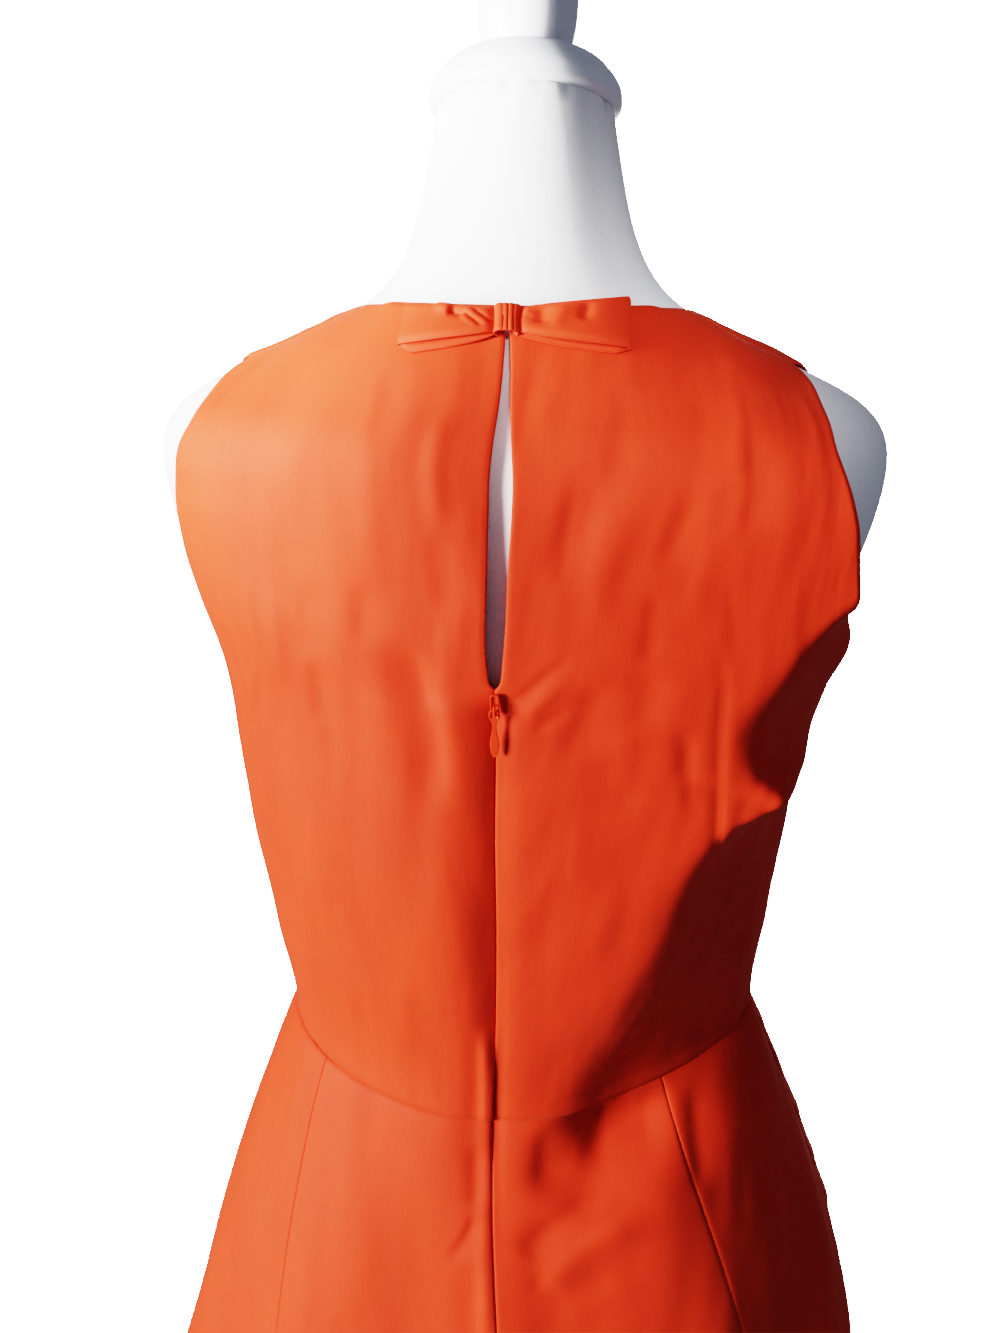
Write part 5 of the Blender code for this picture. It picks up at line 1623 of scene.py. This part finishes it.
form_jersey = white_jersey("cotton_jersey_white")
white_wood = painted("beech_turned_painted_white", "#EFF0F4", 0.34, 2.2, 1.2, 0.15)
white_steel = painted("steel_powder_coated_white", "#EEEFF2", 0.42, 60, 0.8, 0.0)
print("finishes:", len(bpy.data.materials))

# %% [markdown]
# ## Body, finish, and cut of every piece
# The size that each sheet of cloth was cut to is worked out and printed: the rectangle round its
# pattern, and the pattern's own area inside it.

# %% Dress and tape
def surface_size(piece):
    """Half the surface of a closed sheet: what its cloth measures as it hangs."""
    return sum(face.area for face in piece.data.polygons) / 2


def cut_size(piece):
    """Width and length of the rectangle round a sheet's UV map, which is its pattern laid flat."""
    places = np.zeros(2 * len(piece.data.loops), np.float32)
    piece.data.uv_layers["grain"].data.foreach_get("uv", places)
    places = places.reshape(-1, 2)
    return [float(v) for v in places.max(0) - places.min(0)]


for name, piece in cloth_pieces.items():
    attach(piece, "dress_and_form")
    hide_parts(name)
    piece.data.materials.append(dress_cloth)
    width, length = cut_size(piece)
    area = min(surface_size(piece), width * length)
    print(f"{name}: {width:.3f} x {length:.3f} m, {area:.4f} square metres")

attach(tape, "dress_and_form")
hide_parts("zip_tape")
tape.data.materials.append(tape_cloth)
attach(teeth, "dress_and_form")
teeth.data.materials.append(zip_enamel)
tape_width, tape_length = cut_size(tape)

# %% Zip, form and stand
hard_pieces = [
    (slider, "zip_slider", "dress_and_form", "zip_metal", zip_enamel),
    (pull, "zip_pull", "pull", "zip_metal", zip_enamel),
    (torso, "form_torso", "dress_and_form", "form_cover", form_jersey),
    (cap, "neck_cap", "dress_and_form", "painted_wood", white_wood),
    (finial, "finial", "dress_and_form", "painted_wood", white_wood),
    (collar, "pole_collar", "dress_and_form", "stand_metal", white_steel),
    (pole, "pole", "dress_and_form", "stand_metal", white_steel),
    (base, "base", "dress_and_form", "stand_metal", white_steel),
]
for piece, stands_for, body, finish, material in hard_pieces:
    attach(piece, body)
    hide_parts(stands_for)
    piece.data.materials.clear()
    piece.data.materials.append(material)
print("pieces:", len(cloth_pieces) + len(hard_pieces) + 2)

# %% [markdown]
# ## Light and floor
# A window at one side lights the back: one low, soft light, so the side that turns from it falls
# into shadow. A weaker one across the room lights the front. The room around is plain and
# pale. The floor curves up into walls all round, and it is bright enough to show as white without
# filling the shadows.

# %% Window light
WindowRow = namedtuple("WindowRow", "name turn rise away width height energy")
WINDOWS = table(WindowRow, [
    ("window", 57, 8, 2.6, 0.7, 0.9, 146),
    ("far_window", 180, -10, 2.8, 1.6, 1.6, 60),
])
WINDOW_COLOUR = (1.0, 0.97, 0.95)
aim = Vector((0, 0.06, WAIST_HEIGHT + 0.15))
for row in WINDOWS:
    turn, rise = radians(row.turn), radians(row.rise)
    towards = Vector((sin(turn) * cos(rise), cos(turn) * cos(rise), sin(rise)))
    window = bpy.data.objects.new(row.name, bpy.data.lights.new(row.name, "AREA"))
    window.data.shape = "RECTANGLE"
    window.data.size, window.data.size_y = row.width, row.height
    window.data.energy = row.energy
    window.data.color = WINDOW_COLOUR
    window.location = aim + towards * row.away
    window.rotation_euler = (-towards).to_track_quat("-Z", "Y").to_euler()
    window.visible_camera = False
    bpy.context.scene.collection.objects.link(window)

# The sun reaches the left shoulder, the neck and the finial through the upper panes. The sky
# above adds a softer light on the top of the right shoulder.
SunRow = namedtuple("SunRow", "name x y height azimuth rise reach blend strength softness")
SUN = table(SunRow, [
    ("sun_on_shoulder", 0.147, 0.050, 0.372, 50, 42, 0.088, 0.35, 2.3, 0.04),
    ("sun_on_neck", 0.090, 0.000, 0.560, 62, 5, 0.170, 0.60, 5.0, 0.10),
    ("sky_on_right", -0.072, 0.040, 0.395, -10, 30, 0.100, 0.90, 0.80, 0.06),
])
SUN_AWAY = 2.4
for row in SUN:
    sun_aim = Vector((row.x, row.y, WAIST_HEIGHT + row.height))
    azimuth, rise = radians(row.azimuth), radians(row.rise)
    back_along = Vector((sin(azimuth) * cos(rise), cos(azimuth) * cos(rise), sin(rise)))
    sun = bpy.data.objects.new(row.name, bpy.data.lights.new(row.name, "SPOT"))
    sun.data.energy = row.strength * 4 * pi**2 * SUN_AWAY**2
    sun.data.spot_size = 2 * np.arctan(row.reach / SUN_AWAY)
    sun.data.spot_blend = row.blend
    sun.data.shadow_soft_size = row.softness
    sun.location = sun_aim + back_along * SUN_AWAY
    sun.rotation_euler = (-back_along).to_track_quat("-Z", "Y").to_euler()
    bpy.context.scene.collection.objects.link(sun)

# %% Room light
world = bpy.data.worlds.new("room")
bpy.context.scene.world = world
world.use_nodes = True
world.node_tree.nodes["Background"].inputs["Color"].default_value = linear("#D6DDF0")
world.node_tree.nodes["Background"].inputs["Strength"].default_value = 0.22
bpy.context.scene.view_settings.view_transform = "Filmic"
bpy.context.scene.view_settings.look = "Very High Contrast"

# %% Floor
FLOOR_RADIUS, WALL_RADIUS, WALL_TOP = 3.2, 5.0, 4.0
all_off()
bpy.ops.mesh.primitive_circle_add(vertices=96, radius=FLOOR_RADIUS, fill_type="NGON", location=(0, 0, 0))
floor = bpy.context.object
floor.name = floor.data.name = "floor"
bpy.ops.object.mode_set(mode="EDIT")
bpy.ops.mesh.select_mode(type="EDGE")
bpy.ops.mesh.select_all(action="SELECT")
bend = WALL_RADIUS - FLOOR_RADIUS
radius, height = FLOOR_RADIUS, 0.0
for angle in np.linspace(0, pi / 2, 13)[1:]:
    new_radius, new_height = FLOOR_RADIUS + bend * sin(angle), bend * (1 - cos(angle))
    bpy.ops.mesh.extrude_edges_move(TRANSFORM_OT_translate={"value": (0, 0, new_height - height)})
    wider = new_radius / radius
    bpy.ops.transform.resize(value=(wider, wider, 1), center_override=(0, 0, new_height))
    radius, height = new_radius, new_height
bpy.ops.mesh.extrude_edges_move(TRANSFORM_OT_translate={"value": (0, 0, WALL_TOP - height)})
leave_edit(inside=True)
bpy.ops.object.shade_smooth()
floor_paint, tree, shader = new_finish("plaster_matt_white")
grit = grains(tree, on_object(tree), 12)
tree.links.new(mapped(tree, grit, 0.88, 0.92), shader.inputs["Base Color"])
set_shader(shader, Roughness=0.9, Emission_Color=(1, 1, 1, 1), Emission_Strength=24.0)
floor.data.materials.append(floor_paint)
floor.visible_diffuse = floor.visible_glossy = floor.visible_shadow = False
